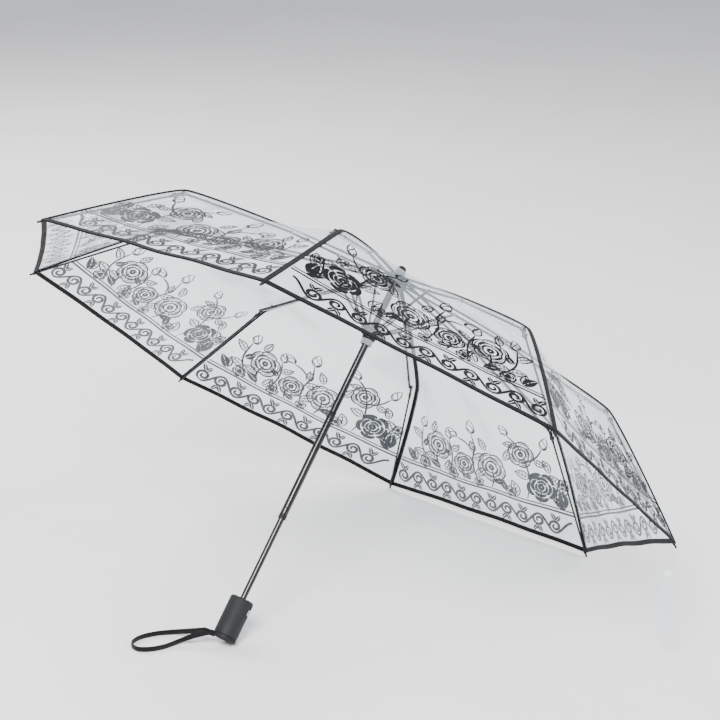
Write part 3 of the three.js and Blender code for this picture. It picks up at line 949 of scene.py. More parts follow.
def half_of(drawing, side):
    """The part of a drawing on one side of the panel's middle line, as corners and faces."""
    sheet = bmesh.new()
    corners = [sheet.verts.new((point[0], point[1], 0)) for point in drawing.points]
    for face in drawing.faces:
        sheet.faces.new([corners[index] for index in face])
    geometry = sheet.verts[:] + sheet.edges[:] + sheet.faces[:]
    bmesh.ops.bisect_plane(sheet, geom=geometry, plane_co=(0, 0, 0), plane_no=(side, 0, 0), clear_inner=True)
    geometry = sheet.verts[:] + sheet.edges[:] + sheet.faces[:]
    top = (0, 0.985 * HEM_TO_ELBOW, 0)
    bmesh.ops.bisect_plane(sheet, geom=geometry, plane_co=top, plane_no=(0, 1, 0), clear_outer=True)
    for face in sheet.faces:
        face.normal_update()
    turned_over = [face for face in sheet.faces if face.normal.z < 0]
    bmesh.ops.reverse_faces(sheet, faces=turned_over)
    sheet.verts.index_update()
    flat = np.array([corner.co[:2] for corner in sheet.verts])
    faces = [[corner.index for corner in face.verts] for face in sheet.faces]
    sheet.free()
    return flat, faces


def wrapped(flat, panel, lift):
    """Points of a drawing laid on a panel."""
    at = 3 - flat[:, 1] / HEM_TO_ELBOW
    radius, _ = rib_line(at)
    return on_film(panel, np.clip(flat[:, 0] / (radius * math.sin(PITCH / 2)), -1, 1), at, lift)


# ---- lengths read from the frame -----------------------------------------------------


def reach(node):
    """Least and greatest distance from the shaft, then lowest and highest height, of a CAD node."""
    corners = np.array([v.co for v in frame["nodes"][node].data.vertices]) - CENTRE
    heights = corners @ UP
    radii = np.linalg.norm(corners - np.outer(heights, UP), axis=1)
    return radii.min(), radii.max(), heights.min(), heights.max()


def dress(material, *nodes):
    """Gives carried-over CAD nodes their finish."""
    for node in nodes:
        for slot in frame["nodes"][node].material_slots:
            slot.material = material


def placed_on(piece, body, *nodes, slot=None):
    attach(piece, body)
    if nodes:
        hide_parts(*nodes)
    return piece


def cut_by(piece, cutter):
    """The piece with the cutter's shape taken out of it."""
    modifier = piece.modifiers.new("cut", "BOOLEAN")
    modifier.operation = "DIFFERENCE"
    modifier.solver = "EXACT"
    modifier.object = cutter
    graph = bpy.context.evaluated_depsgraph_get()
    mesh = bpy.data.meshes.new_from_object(piece.evaluated_get(graph))
    piece.modifiers.remove(modifier)
    piece.data = mesh
    mesh.shade_smooth()
    mesh.set_sharp_from_angle(angle=math.radians(32))
    bpy.data.objects.remove(cutter)
    return piece


def block(centre, axes, size):
    """Corners and faces of a box with its sides along three directions."""
    corners = []
    for a in (-0.5, 0.5):
        for b in (-0.5, 0.5):
            for c in (-0.5, 0.5):
                corners.append(centre + a * size[0] * axes[0] + b * size[1] * axes[1] + c * size[2] * axes[2])
    faces = [[0, 1, 3, 2], [4, 6, 7, 5], [0, 4, 5, 1], [2, 3, 7, 6], [0, 2, 6, 4], [1, 5, 7, 3]]
    return corners, faces


def finishes():
    """Every material of the umbrella, made once."""
    palette = colours()
    return {
        "paint": painted_steel(),
        "nylon": moulded("black nylon", (0.007, 0.007, 0.008), 0.46),
        "handle": moulded("soft charcoal plastic", tuple(palette.handle), 0.62, 1400.0, 0.07, 0.86),
        "cap": moulded("dark end-cap plastic", (0.007, 0.007, 0.008), 0.6),
        "grey": moulded("grey acetal", (0.24, 0.26, 0.27), 0.38),
        "white": moulded("white nylon", (0.82, 0.83, 0.83), 0.3, tone=0.95),
        "mark": moulded("white marking paint", (0.8, 0.8, 0.8), 0.5, tone=0.93),
        "rivet": bright_metal("nickelled rivet", (0.42, 0.42, 0.43), 0.32),
        "spring": bright_metal("spring steel", (0.55, 0.55, 0.57), 0.28),
        "rod": fibre_rod(),
        "tape": woven("black binding tape", tuple(palette.tape), 0.55 * MM, 0.08 * MM),
        "webbing": woven("black webbing", tuple(palette.webbing), 0.9 * MM, 0.22 * MM, 0.12),
        "thread": thread("black thread", (0.012, 0.012, 0.013)),
        "film": clear_film("clear film", tuple(palette.film_tint), tuple(palette.film_haze), 0.03, 0.44),
        "tab": clear_film("clear strap film", tuple(palette.film_tint), tuple(palette.film_haze), 0.22, 0.7),
        "ink": printed_ink("screen ink", tuple(palette.ink)),
    }


# ---- the pieces ----------------------------------------------------------------------


class UMBRELLA_OT_camera(bpy.types.Operator):
    """Puts the camera low in front of the umbrella, looking at its underside and handle"""

    bl_idname = "umbrella.camera"
    bl_label = "Camera"

    def execute(self, context):
        data = bpy.data.cameras.new("camera")
        data.sensor_width = 36.0
        data.lens = 96.0
        camera = bpy.data.objects.new("camera", data)
        heading, pitch, roll = math.radians(-50.14), math.radians(71.35), math.radians(1.77)
        turn = Matrix.Rotation(heading, 4, "Z") @ Matrix.Rotation(pitch, 4, "X") @ Matrix.Rotation(roll, 4, "Z")
        camera.matrix_world = Matrix.Translation((-1.8455, -1.5786, 1.1645)) @ turn
        context.scene.collection.objects.link(camera)
        context.scene.camera = camera
        return {"FINISHED"}


STRAP_ROUTE = np.array([
    [-229.5, 10, 21.5],
    [-237, 21, 17.5],
    [-245, 34, 11],
    [-258, 43, 6.0],
    [-276, 48, 4.2],
    [-294, 56, 4.1],
    [-305, 69, 4.1],
    [-301, 84, 4.1],
    [-283, 90, 4.1],
    [-259, 83, 4.2],
    [-243, 68, 6.0],
    [-235, 50, 10.5],
    [-231, 33, 16],
    [-229, 20, 20.5],
]) * MM
STRAP_WIDTH = 7.4 * MM
STRAP_THICKNESS = 1.5 * MM


def standing_on_edge(line):
    """For a tape on its edge: its width direction, and its flat side's direction."""
    way = directions(line)
    upright = np.array([0.0, 0.0, 1.0])
    across = np.array([unit(upright - (upright @ step) * step) for step in way])
    return across, np.cross(way, across)


class UMBRELLA_OT_wrist_strap(bpy.types.Operator):
    """Makes the webbing loop and its sewn roots"""

    bl_idname = "umbrella.wrist_strap"
    bl_label = "Wrist Strap"

    def execute(self, context):
        look = finishes()
        line = curve_through(STRAP_ROUTE, 8)
        across, outward = standing_on_edge(line)
        loop = Shape().add(*sweep_parts(line, across, outward, pillow(STRAP_WIDTH, STRAP_THICKNESS)))
        strap = placed_on(loop.make("wrist_strap_webbing", [look["webbing"]], 50), "handle", "wrist_strap")

        # the ends go into the handle's wall, and each has a sewn fold over it
        roots, folds, rows = Shape(), Shape(), []
        for end, inward in ((0, 1), (-1, -1)):
            tip = line[end]
            from_axis = tip - CENTRE
            level = (from_axis @ UP) * UP
            out = unit(from_axis - level)
            start = CENTRE + level + out * (reach("handle_barrel")[1] - 3 * MM)
            stub = np.array([start, (start + tip) / 2, tip, line[inward * 3 if inward > 0 else -4]])
            stub = curve_through(stub, 4)
            roots.add(*sweep_parts(stub, *standing_on_edge(stub), pillow(STRAP_WIDTH + 0.5 * MM, STRAP_THICKNESS)))
            ordered = line if inward > 0 else line[::-1]
            doubled = ordered[2:18]
            sides = standing_on_edge(doubled)
            folds.add(*sweep_parts(doubled, *sides, pillow(STRAP_WIDTH + 0.3 * MM, 2.6 * MM)))
            for offset in (-2.5 * MM, 2.5 * MM):
                for face in (-1.2 * MM, 1.2 * MM):
                    rows.append(doubled + sides[0] * offset + sides[1] * face)
        root = placed_on(roots.make("wrist_strap_roots", [look["webbing"]], 50), "handle", slot="webbing")
        fold = placed_on(folds.make("wrist_strap_folds", [look["webbing"]], 50), "handle", slot="webbing")
        seams = placed_on(stitched("wrist_strap_stitches", rows, look["thread"]), "handle")
        return {"FINISHED"}


def sweep_parts(line, across, outward, profile):
    """What Shape.add needs for a tape or a wire: corners, faces, slot and surface coordinates."""
    corners, faces, uv = swept(line, across, outward, profile)
    return corners, faces, 0, uv


FILM_COLUMNS = 10
FILM_ROWS = (9, 10, 14)


class UMBRELLA_OT_film(bpy.types.Operator):
    """Makes the clear film: for each bar of each rib, the film out to the middle of both panels"""

    bl_idname = "umbrella.film"
    bl_label = "Film"

    def execute(self, context):
        film = finishes()["film"]
        half = np.linspace(0, 1, FILM_COLUMNS + 1)
        for rib in range(1, RIBS + 1):
            for bar, rows in enumerate(FILM_ROWS):
                corners, normals = [], []
                for at in np.linspace(bar, bar + 1, rows + 1):
                    for panel, across in ((panel_before(rib), half), (rib, half[1:] - 1)):
                        corners.extend(film_surface(panel, across, at))
                        normals.extend(film_normals(panel, across, at))
                columns = 2 * FILM_COLUMNS + 1
                faces = []
                for row in range(rows):
                    for column in range(columns - 1):
                        low = row * columns + column
                        faces.append([low, low + columns, low + columns + 1, low + 1])
                shape = Shape().add(corners, faces, closed=False)
                piece = shape.make(f"film_{BARS[bar]}_{rib}", [film], 60)
                piece.data.normals_split_custom_set_from_vertices([tuple(normal) for normal in normals])
                gather(piece, rib, bar)
                long = self.length(bar)
                if BARS[bar] == "outer":
                    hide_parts(f"film_panel_{rib}")
        return {"FINISHED"}

    @staticmethod
    def length(bar):
        span = slice(SAMPLES * bar, SAMPLES * (bar + 1) + 1)
        slant = np.hypot(np.diff(LINE_RADIUS[span]), np.diff(LINE_HEIGHT[span]))
        return float(slant.sum())


class UMBRELLA_OT_ornament(bpy.types.Operator):
    """Prints the scroll, the border and the roses on every panel"""

    bl_idname = "umbrella.ornament"
    bl_label = "Printed Ornament"

    def execute(self, context):
        ink = finishes()["ink"]
        drawing = ornament()
        halves = {side: half_of(drawing, side) for side in (-1, 1)}
        for rib in range(1, RIBS + 1):
            shape = Shape()
            for panel, side in ((panel_before(rib), 1), (rib, -1)):
                flat, faces = halves[side]
                shape.add(wrapped(flat, panel, 0.3 * MM), faces, closed=False)
            piece = shape.make(f"ornament_{rib}", [ink], 60)
            gather(piece, rib, 2)
        return {"FINISHED"}


def seam_line(rib, first, last, count):
    """Points along a rib's seam, with the direction across it and the direction out of the film."""
    at = np.linspace(first, last, count)
    line = film_surface(rib, -1.0, at)
    side = tangent(rib_angle(rib) + seam_turn(at, rib_angle(rib)))
    outward = np.cross(directions(line), side)
    outward /= np.linalg.norm(outward, axis=1)[:, None]
    return line, side, outward


class UMBRELLA_OT_seams(bpy.types.Operator):
    """Makes the black tape along each rib with its two rows of stitches, turning at knee and elbow"""

    bl_idname = "umbrella.seams"
    bl_label = "Seam Tapes"

    def execute(self, context):
        look = finishes()
        width = sizes().tape_width
        spans = (("upper", 0.03, 1.5, 46, 0, "knee"), ("lower", 1.5, 2.985, 54, 1, "elbow"))
        for rib in range(1, RIBS + 1):
            for label, first, last, count, bar, joint in spans:
                line, side, outward = seam_line(rib, first, last, count)
                shape = Shape().add(*sweep_parts(line, side, outward, pillow(width, SEAM_THICKNESS)))
                tape = shape.make(f"seam_tape_{label}_{rib}", [look["tape"]], 50)
                rows = [line + side * aside + outward * lift
                        for aside in (-0.3 * width, 0.3 * width) for lift in (-0.46 * SEAM_THICKNESS, 0.46 * SEAM_THICKNESS)]
                stitches = stitched(f"seam_stitches_{label}_{rib}", rows, look["thread"])
                for piece in (tape, stitches):
                    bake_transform(piece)
        return {"FINISHED"}


class UMBRELLA_OT_hem(bpy.types.Operator):
    """Makes the black binding round the edge with its stitches"""

    bl_idname = "umbrella.hem"
    bl_label = "Hem"

    def execute(self, context):
        look = finishes()
        width = sizes().hem_width
        inset = (width / 2 - 0.5 * MM) / HEM_TO_ELBOW
        half = np.linspace(0, 1, 19)
        for rib in range(1, RIBS + 1):
            sides = ((panel_before(rib), half), (rib, half[1:] - 1))
            line = np.vstack([film_surface(panel, across, 3 - inset) for panel, across in sides])
            higher = np.vstack([film_surface(panel, across, 2.97 - inset) for panel, across in sides])
            outward = np.vstack([film_normals(panel, across, 3 - inset) for panel, across in sides])
            inward = (higher - line) / np.linalg.norm(higher - line, axis=1)[:, None]
            shape = Shape().add(*sweep_parts(line, inward, outward, pillow(width, HEM_THICKNESS)))
            binding = shape.make(f"hem_binding_{rib}", [look["tape"]], 50)
            rows = [line + inward * 0.28 * width + outward * lift for lift in (-0.48 * HEM_THICKNESS, 0.48 * HEM_THICKNESS)]
            stitches = stitched(f"hem_stitches_{rib}", rows, look["thread"])
            for piece in (binding, stitches):
                gather(piece, rib, 2)
        return {"FINISHED"}


LANE = 2.9 * MM  # sideways step between bars that fold past each other
BAR_WIDTH = 2.6 * MM
BAR_HEIGHT = 2.8 * MM
STRETCHER_REACH = 85 * MM


def on_rib(rib, station_point, lane=0.0):
    """A point at a rib's own bearing, stepped sideways by its lane."""
    return place(rib_angle(rib), station_point[0], station_point[1], lane)[0]


def channel(width, height, wall=0.45 * MM):
    """The cross-section of a pressed channel, open downwards."""
    w, h = width / 2, height / 2
    return [(-w, -h), (-w + wall, -h), (-w + wall, h - wall), (w - wall, h - wall),
            (w - wall, -h), (w, -h), (w, h - 0.3 * MM), (w - 0.3 * MM, h), (-w + 0.3 * MM, h), (-w, h - 0.3 * MM)]


def pressed_bar(shape, start, end, side, width=BAR_WIDTH, height=BAR_HEIGHT, over=2.3 * MM, slot=0):
    """A channel bar from pivot to pivot, with rounded ends and a flattened boss at each pivot."""
    way = unit(end - start)
    up = np.cross(way, side)
    stops = [(-over, 0.35), (-0.8 * over, 0.7), (-0.4 * over, 0.94), (0.0, 1.0)]
    spots = [(start + way * along, share) for along, share in stops]
    spots += [(end - way * along, share) for along, share in stops[::-1]]
    profile = channel(width, height)
    corners, faces = [], []
    for spot, share in spots:
        corners.extend(spot + side * a + up * b * share for a, b in profile)
    sides = len(profile)
    for index in range(len(spots) - 1):
        here, there = index * sides, (index + 1) * sides
        for step in range(sides):
            following = (step + 1) % sides
            faces.append([here + step, here + following, there + following, there + step])
    faces.append(list(range(sides))[::-1])
    faces.append(list(range(len(corners) - sides, len(corners))))
    shape.add(corners, faces, slot)
    for pivot in (start, end):
        boss = softened([(0, -width / 2 - 0.05 * MM), (0.8 * height, -width / 2 - 0.05 * MM),
                         (0.8 * height, width / 2 + 0.05 * MM), (0, width / 2 + 0.05 * MM)], 0.3 * MM, 2)
        shape.add(*lathe(boss, pivot, side, way, 20), slot)
    return way, up


class UMBRELLA_OT_ribs(bpy.types.Operator):
    """Makes the folding bars of every arm, their rivets, knobs and control wires"""

    bl_idname = "umbrella.ribs"
    bl_label = "Ribs"

    def execute(self, context):
        look = finishes()
        slope = unit(KNEE - CROWN_HINGE)
        joint = CROWN_HINGE + slope * STRETCHER_REACH
        for rib in range(1, RIBS + 1):
            side = tangent(rib_angle(rib))[0]
            self.inner(look, rib, side)
            self.middle(look, rib, side)
            self.outer(look, rib, side)
            shape = Shape()
            pressed_bar(shape, on_rib(rib, RUNNER_HINGE, -LANE), on_rib(rib, joint, -LANE), side)
            piece = shape.make(f"stretcher_bar_{rib}", [look["paint"]])
            placed_on(piece, f"stretcher_{rib}", f"stretcher_{rib}", slot="black_steel")
            pins = [on_rib(rib, KNEE, -0.5 * BAR_WIDTH), on_rib(rib, KNEE, LANE + 0.5 * BAR_WIDTH),
                    on_rib(rib, joint, 0.5 * BAR_WIDTH), on_rib(rib, joint, -LANE - 0.5 * BAR_WIDTH)]
            heads = riveted(f"inner_rivets_{rib}", pins, [-side, side, side, -side], look["rivet"])
            placed_on(heads, f"inner_rib_{rib}")
        return {"FINISHED"}

    @staticmethod
    def inner(look, rib, side):
        shape = Shape()
        pressed_bar(shape, on_rib(rib, CROWN_HINGE), on_rib(rib, KNEE), side)
        piece = shape.make(f"inner_bar_{rib}", [look["paint"]])
        placed_on(piece, f"inner_rib_{rib}", f"inner_rib_{rib}", slot="black_steel")

    @staticmethod
    def middle(look, rib, side):
        start, end = on_rib(rib, KNEE, LANE), on_rib(rib, ELBOW, LANE)
        shape = Shape()
        way, up = pressed_bar(shape, start, end, side)
        # the control wire runs under the bar, from near one end to near the other
        low = up * -2.6 * MM
        wire = curve_through([start + way * 4 * MM + up * -0.5 * MM, start + way * 9 * MM + low,
                              (start + end) / 2 + low * 1.15, end - way * 9 * MM + low,
                              end - way * 4 * MM + up * -0.5 * MM], 7)
        across = np.tile(side, (len(wire), 1))
        outward = np.cross(directions(wire), across)
        shape.add(*sweep_parts(wire, across, outward, circle(0.55 * MM, 8))[:2], slot=1)
        piece = shape.make(f"middle_bar_{rib}", [look["paint"], look["spring"]])
        placed_on(piece, f"middle_rib_{rib}", f"middle_rib_{rib}", slot="black_steel")
        pins = [on_rib(rib, ELBOW, -0.5 * BAR_WIDTH), on_rib(rib, ELBOW, LANE + 0.5 * BAR_WIDTH)]
        heads = riveted(f"middle_rivets_{rib}", pins, [-side, side], look["rivet"])
        placed_on(heads, f"middle_rib_{rib}")
        knob_at = end - way * 33 * MM + side * 0.5 * BAR_WIDTH
        knob = riveted(f"middle_knob_{rib}", [knob_at], [side], look["paint"], 2.4 * MM, 1.8 * MM)
        placed_on(knob, f"middle_rib_{rib}")

    @staticmethod
    def outer(look, rib, side):
        start, end = on_rib(rib, ELBOW), on_rib(rib, TIP)
        way = unit(end - start)
        length = np.linalg.norm(end - start)
        shape = Shape()
        pressed_bar(shape, start, start + way * 13 * MM, side, height=4.4 * MM, over=3.0 * MM)
        ferrule = softened([(0, 9 * MM), (1.5 * MM, 9 * MM), (2.0 * MM, 12 * MM), (2.0 * MM, 19 * MM),
                            (1.5 * MM, 21 * MM), (0, 21 * MM)], 0.3 * MM, 2)
        shape.add(*lathe(ferrule, start, way, side, 20), 0)
        rod = [(0, 10 * MM), (1.4 * MM, 10 * MM), (1.25 * MM, length - 8 * MM), (0, length - 8 * MM)]
        shape.add(*lathe(rod, start, way, side, 16), 1)
        cap = softened([(0, length - 11 * MM), (1.8 * MM, length - 11 * MM), (2.2 * MM, length - 9.5 * MM),
                        (2.2 * MM, length - 5.5 * MM), (1.3 * MM, length - 4.4 * MM), (1.3 * MM, length - 2.2 * MM),
                        (1.7 * MM, length - 1.4 * MM), (1.1 * MM, length), (0, length)], 0.35 * MM, 3)
        shape.add(*lathe(cap, start, way, side, 20), 2)
        piece = shape.make(f"outer_bar_{rib}", [look["paint"], look["rod"], look["nylon"]])
        placed_on(piece, f"outer_rib_{rib}", f"outer_rib_{rib}", slot="fibreglass")


class UMBRELLA_OT_shaft(bpy.types.Operator):
    """Makes the three telescoping tubes and their bushes"""

    bl_idname = "umbrella.shaft"
    bl_label = "Shaft"

    def execute(self, context):
        look = finishes()
        bodies = {"lower_tube": "handle", "middle_tube": "middle_tube", "upper_tube": "upper_tube"}
        for node, body in bodies.items():
            bore, outer, bottom, top = reach(node)
            # a shallow ring is rolled into the wall near each end
            wall = [(bore, bottom), (outer, bottom), (outer, bottom + 9 * MM), (outer - 0.18 * MM, bottom + 10 * MM),
                    (outer, bottom + 11 * MM), (outer, top - 11 * MM), (outer - 0.18 * MM, top - 10 * MM),
                    (outer, top - 9 * MM), (outer, top), (bore, top)]
            shape = Shape().add(*turned(wall, 0.25 * MM, ring=True))
            placed_on(shape.make(f"{node}_drawn", [look["paint"]]), body, node, slot="black_steel")
        for node in ("lower_bush", "upper_bush"):
            bore, outer, bottom, top = reach(node)
            lip = 1.4 * MM
            wall = [(bore, bottom), (outer, bottom), (outer, bottom + lip), (outer - 0.3 * MM, bottom + lip + 0.3 * MM),
                    (outer - 0.3 * MM, top - lip - 0.3 * MM), (outer, top - lip), (outer, top), (bore, top)]
            shape = Shape().add(*turned(wall, 0.2 * MM, ring=True))
            placed_on(shape.make(f"{node}_moulded", [look["nylon"]]), "middle_tube", node, slot="black_plastic")
        dress(look["spring"], "opening_spring", "button_spring")
        return {"FINISHED"}


def slots_cutter(inner, outer, bottom, top, lane):
    """One object with a block for each rib's slot."""
    shape = Shape()
    for rib in range(1, RIBS + 1):
        angle = rib_angle(rib)
        axes = (radial(angle)[0], tangent(angle)[0], UP)
        centre = place(angle, (inner + outer) / 2, (bottom + top) / 2, lane)[0]
        shape.add(*block(centre, axes, (outer - inner, BAR_WIDTH + 0.8 * MM, top - bottom)))
    return shape.make("slots_cutter", [])


def wire_ring(radius, height, thick=0.5 * MM, count=64):
    turns = 2 * math.pi * np.arange(count) / count
    line = place(turns, radius, height)
    return swept(line, radial(turns), np.tile(UP, (count, 1)), circle(thick, 8), closed_loop=True)[:2]


class UMBRELLA_OT_crown(bpy.types.Operator):
    """Makes the slotted crown with its wire ring, and the cap over the film"""

    bl_idname = "umbrella.crown"
    bl_label = "Crown"

    def execute(self, context):
        look = finishes()
        _, outer, bottom, top = reach("crown")
        bore = reach("upper_tube")[1] + 0.3 * MM
        socket = top - 6 * MM
        body = [(bore, bottom), (outer - 1.2 * MM, bottom), (outer, bottom + 1.2 * MM), (outer, top - 1.2 * MM),
                (outer - 1.2 * MM, top), (0, top), (0, socket), (bore, socket)]
        profile = softened(body[:5], 0.5 * MM) + body[5:]
        crown = Shape().add(*turned(profile, ring=True)).make("crown_moulded", [look["nylon"]])
        crown = cut_by(crown, slots_cutter(8.2 * MM, outer + 2 * MM, bottom - 1 * MM, top - 3 * MM, 0))
        placed_on(crown, "upper_tube", "crown", slot="black_plastic")
        ring = Shape().add(*wire_ring(CROWN_HINGE[0], CROWN_HINGE[1])).make("crown_wire", [look["spring"]])
        placed_on(ring, "upper_tube")

        _, flange, seat, peak = reach("top_cap")
        low = seat + 2.1 * MM
        cap = [(0, seat), (6 * MM, seat), (6 * MM, low), (flange, low), (flange, low + 1.4 * MM),
               (8.4 * MM, seat + 5.6 * MM), (7.2 * MM, seat + 7.5 * MM), (6.5 * MM, seat + 14.5 * MM),
               (5.2 * MM, seat + 17.2 * MM), (2.6 * MM, peak - 0.15 * MM), (0, peak)]
        top_cap = Shape().add(*turned(cap, 0.9 * MM)).make("top_cap_moulded", [look["nylon"]], 40)
        placed_on(top_cap, "upper_tube", "top_cap", slot="black_plastic")
        return {"FINISHED"}


class UMBRELLA_OT_runner(bpy.types.Operator):
    """Makes the slotted runner with its wire ring, and the grey bush under it"""

    bl_idname = "umbrella.runner"
    bl_label = "Runner"

    def execute(self, context):
        look = finishes()
        bore, outer, bottom, top = reach("runner")
        neck = top - 13 * MM
        body = [(bore, bottom), (8.6 * MM, bottom), (9.4 * MM, bottom + 1.6 * MM), (9.4 * MM, neck),
                (outer, neck + 2 * MM), (outer, top - 1.2 * MM), (outer - 1.2 * MM, top), (bore, top)]
        runner = Shape().add(*turned(body, 0.5 * MM, ring=True)).make("runner_moulded", [look["nylon"]])
        runner = cut_by(runner, slots_cutter(7.4 * MM, 16 * MM, top - 9.4 * MM, top + 1 * MM, -LANE))
        placed_on(runner, "runner", "runner", slot="black_plastic")
        ring = Shape().add(*wire_ring(RUNNER_HINGE[0], RUNNER_HINGE[1])).make("runner_wire", [look["spring"]])
        placed_on(ring, "runner")
        bore, outer, bottom, top = reach("runner_bush")
        wall = [(bore, bottom), (outer - 0.6 * MM, bottom), (outer, bottom + 1.0 * MM), (outer, bottom + 3.4 * MM),
                (outer - 0.4 * MM, bottom + 3.8 * MM), (outer - 0.4 * MM, top - 1.2 * MM), (outer, top - 0.9 * MM),
                (outer, top), (bore, top)]
        bush = Shape().add(*turned(wall, 0.3 * MM, ring=True)).make("runner_bush_moulded", [look["grey"]])
        placed_on(bush, "runner", "runner_bush", slot="grey_plastic")
        return {"FINISHED"}


BUTTON_AXIS = -unit(np.array(JOINTS["button_press"]["axis"]))
BUTTON_SIDE = np.cross(UP, BUTTON_AXIS)
DISH_RADIUS = 8.4 * MM
DISH_DEPTH = 2.2 * MM


class UMBRELLA_OT_handle(bpy.types.Operator):
    """Makes the handle's barrel with its dish, the end cap, and the button with its two arrows"""

    bl_idname = "umbrella.handle"
    bl_label = "Handle"

    def execute(self, context):
        look = finishes()
        _, outer, bottom, top = reach("handle_barrel")
        bore = outer - 2.9 * MM
        throat = reach("lower_tube")[1] + 0.3 * MM
        roof = top - 5 * MM
        body = [(bore, bottom), (outer - 0.4 * MM, bottom), (outer, bottom + 0.5 * MM), (outer, top - 2.2 * MM),
                (outer - 2.2 * MM, top), (throat, top), (throat, roof), (bore, roof)]
        barrel = Shape().add(*turned(body, 0.8 * MM, 96, ring=True)).make("handle_barrel_moulded", [look["handle"]])
        middle = self.button_height()
        face = outer - DISH_DEPTH
        hole = reach_along("push_button", middle)[2] + 0.3 * MM
        dish = [(0, face - 9 * MM), (hole, face - 9 * MM), (hole, face), (DISH_RADIUS - 0.8 * MM, face),
                (DISH_RADIUS, face + 0.8 * MM), (DISH_RADIUS + 0.3 * MM, outer + 3 * MM), (0, outer + 3 * MM)]
        cutter = Shape().add(*lathe(dish, middle, BUTTON_AXIS, BUTTON_SIDE, 56)).make("dish_cutter", [])
        placed_on(cut_by(barrel, cutter), "handle", "handle_barrel", slot="handle_plastic")

        _, outer, bottom, top = reach("handle_end_cap")
        rim = bottom + 6 * MM
        spigot = outer - 3.2 * MM
        well = reach("lower_tube")[1] + 3 * MM
        plug = [(0, bottom + 0.6 * MM), (outer - 5 * MM, bottom + 0.6 * MM), (outer - 4.4 * MM, bottom),
                (outer - 2 * MM, bottom), (outer, bottom + 2 * MM), (outer, rim - 0.5 * MM), (outer - 0.4 * MM, rim),
                (spigot, rim), (spigot, top), (well, top), (well, bottom + 4 * MM), (0, bottom + 4 * MM)]
        end_cap = Shape().add(*turned(plug, 0.6 * MM, 96)).make("handle_end_cap_moulded", [look["cap"]])
        placed_on(end_cap, "handle", "handle_end_cap", slot="black_plastic")

        back, front, stem = reach_along("push_button", middle)
        flange = 7.2 * MM
        button = [(0, back), (flange, back), (flange, back + 2.6 * MM), (stem, back + 2.6 * MM),
                  (stem, front - 0.9 * MM), (stem - 0.9 * MM, front), (0, front - 0.25 * MM)]
        shape = Shape().add(*lathe(softened(button, 0.5 * MM), middle, BUTTON_AXIS, BUTTON_SIDE, 56))
        piece = shape.make("push_button_moulded", [look["nylon"]], 40)
        placed_on(piece, "push_button", "push_button", slot="black_plastic")
        spring = frame["nodes"]["button_spring"]
        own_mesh(spring)
        marks = Shape()
        for sign in (1, -1):
            centre = middle + BUTTON_AXIS * front + UP * sign * 2.4 * MM
            self.arrow(marks, centre, sign)
        placed_on(marks.make("button_arrows", [look["mark"]]), "push_button")
        return {"FINISHED"}

    @staticmethod
    def button_height():
        """The point on the shaft's axis that the button points away from."""
        corners = np.array([v.co for v in frame["nodes"]["push_button"].data.vertices])
        centre = (corners.max(axis=0) + corners.min(axis=0)) / 2
        return CENTRE + ((centre - CENTRE) @ UP) * UP

    @staticmethod
    def arrow(shape, centre, sign):
        half, tall, thick = 2.9 * MM, 3.3 * MM, 0.16 * MM
        points = [(-half, -tall / 2), (half, -tall / 2), (0, tall / 2)]
        low = [centre + BUTTON_SIDE * x + UP * sign * y - BUTTON_AXIS * 0.35 * MM for x, y in points]
        high = [centre + BUTTON_SIDE * x + UP * sign * y + BUTTON_AXIS * thick for x, y in points]
        faces = [[0, 1, 2], [5, 4, 3], [0, 3, 4, 1], [1, 4, 5, 2], [2, 5, 3, 0]]
        shape.add(low + high, faces)


def reach_along(node, origin):
    """Nearest and furthest distance along the button's axis, and the stem's radius, of a node."""
    corners = np.array([v.co for v in frame["nodes"][node].data.vertices]) - origin
    along = corners @ BUTTON_AXIS
    radii = np.linalg.norm(corners - np.outer(along, BUTTON_AXIS), axis=1)
    near_front = along > along.max() - 1.0 * MM
    return along.min(), along.max(), radii[near_front].max()


class UMBRELLA_OT_closing_strap(bpy.types.Operator):
    """Makes the film strip that ties the folded umbrella, with its snap"""

    bl_idname = "umbrella.closing_strap"
    bl_label = "Closing Strap"

    def execute(self, context):
        look = finishes()
        low, high = (np.array(corner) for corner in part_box("closing_strap"))
        width, length = 19 * MM, high[2] - low[2]
        facing = math.radians(-50)
        side = np.array([math.cos(facing), math.sin(facing), 0.0])
        front = np.array([math.sin(facing), -math.cos(facing), 0.0])
        top = np.array([(low[0] + high[0]) / 2, (low[1] + high[1]) / 2, high[2]])
        columns, rows = 8, 34
        corners, uv = [], []
        for row in range(rows + 1):
            down = length * row / rows
            from_end = min(length - down, width / 2)
            half = math.sqrt(max((width / 2) ** 2 - (width / 2 - from_end) ** 2, (0.3 * MM) ** 2))
            for column in range(columns + 1):
                share = 2 * column / columns - 1
                curl = 2.6 * MM * math.sin(2.4 * down / length + 0.3) - 1.1 * MM * share**2
                corners.append(top + side * half * share + front * curl - np.array([0, 0, down]))
                uv.append((half * share, down))
        faces = []
        for row in range(rows):
            for column in range(columns):
                first = row * (columns + 1) + column
                faces.append([first, first + columns + 1, first + columns + 2, first + 1])
        shape = Shape().add(corners, faces, uv=uv, closed=False)
        strip = placed_on(shape.make("closing_strip", [look["tab"]], 60), "outer_rib_7", "closing_strap",
                          slot="clear_film")
        centre = top - np.array([0, 0, 36 * MM]) + front * 2.4 * MM
        snap = softened([(0, -1.6 * MM), (4.6 * MM, -1.6 * MM), (4.6 * MM, 0.0), (3.4 * MM, 0.9 * MM),
                         (2.0 * MM, 0.9 * MM), (1.6 * MM, 0.2 * MM), (0, 0.2 * MM)], 0.4 * MM, 3)
        piece = Shape().add(*lathe(snap, centre, front, side, 40)).make("strap_snap_moulded", [look["white"]])
        placed_on(piece, "outer_rib_7", "strap_snap", slot="white_plastic")
        return {"FINISHED"}


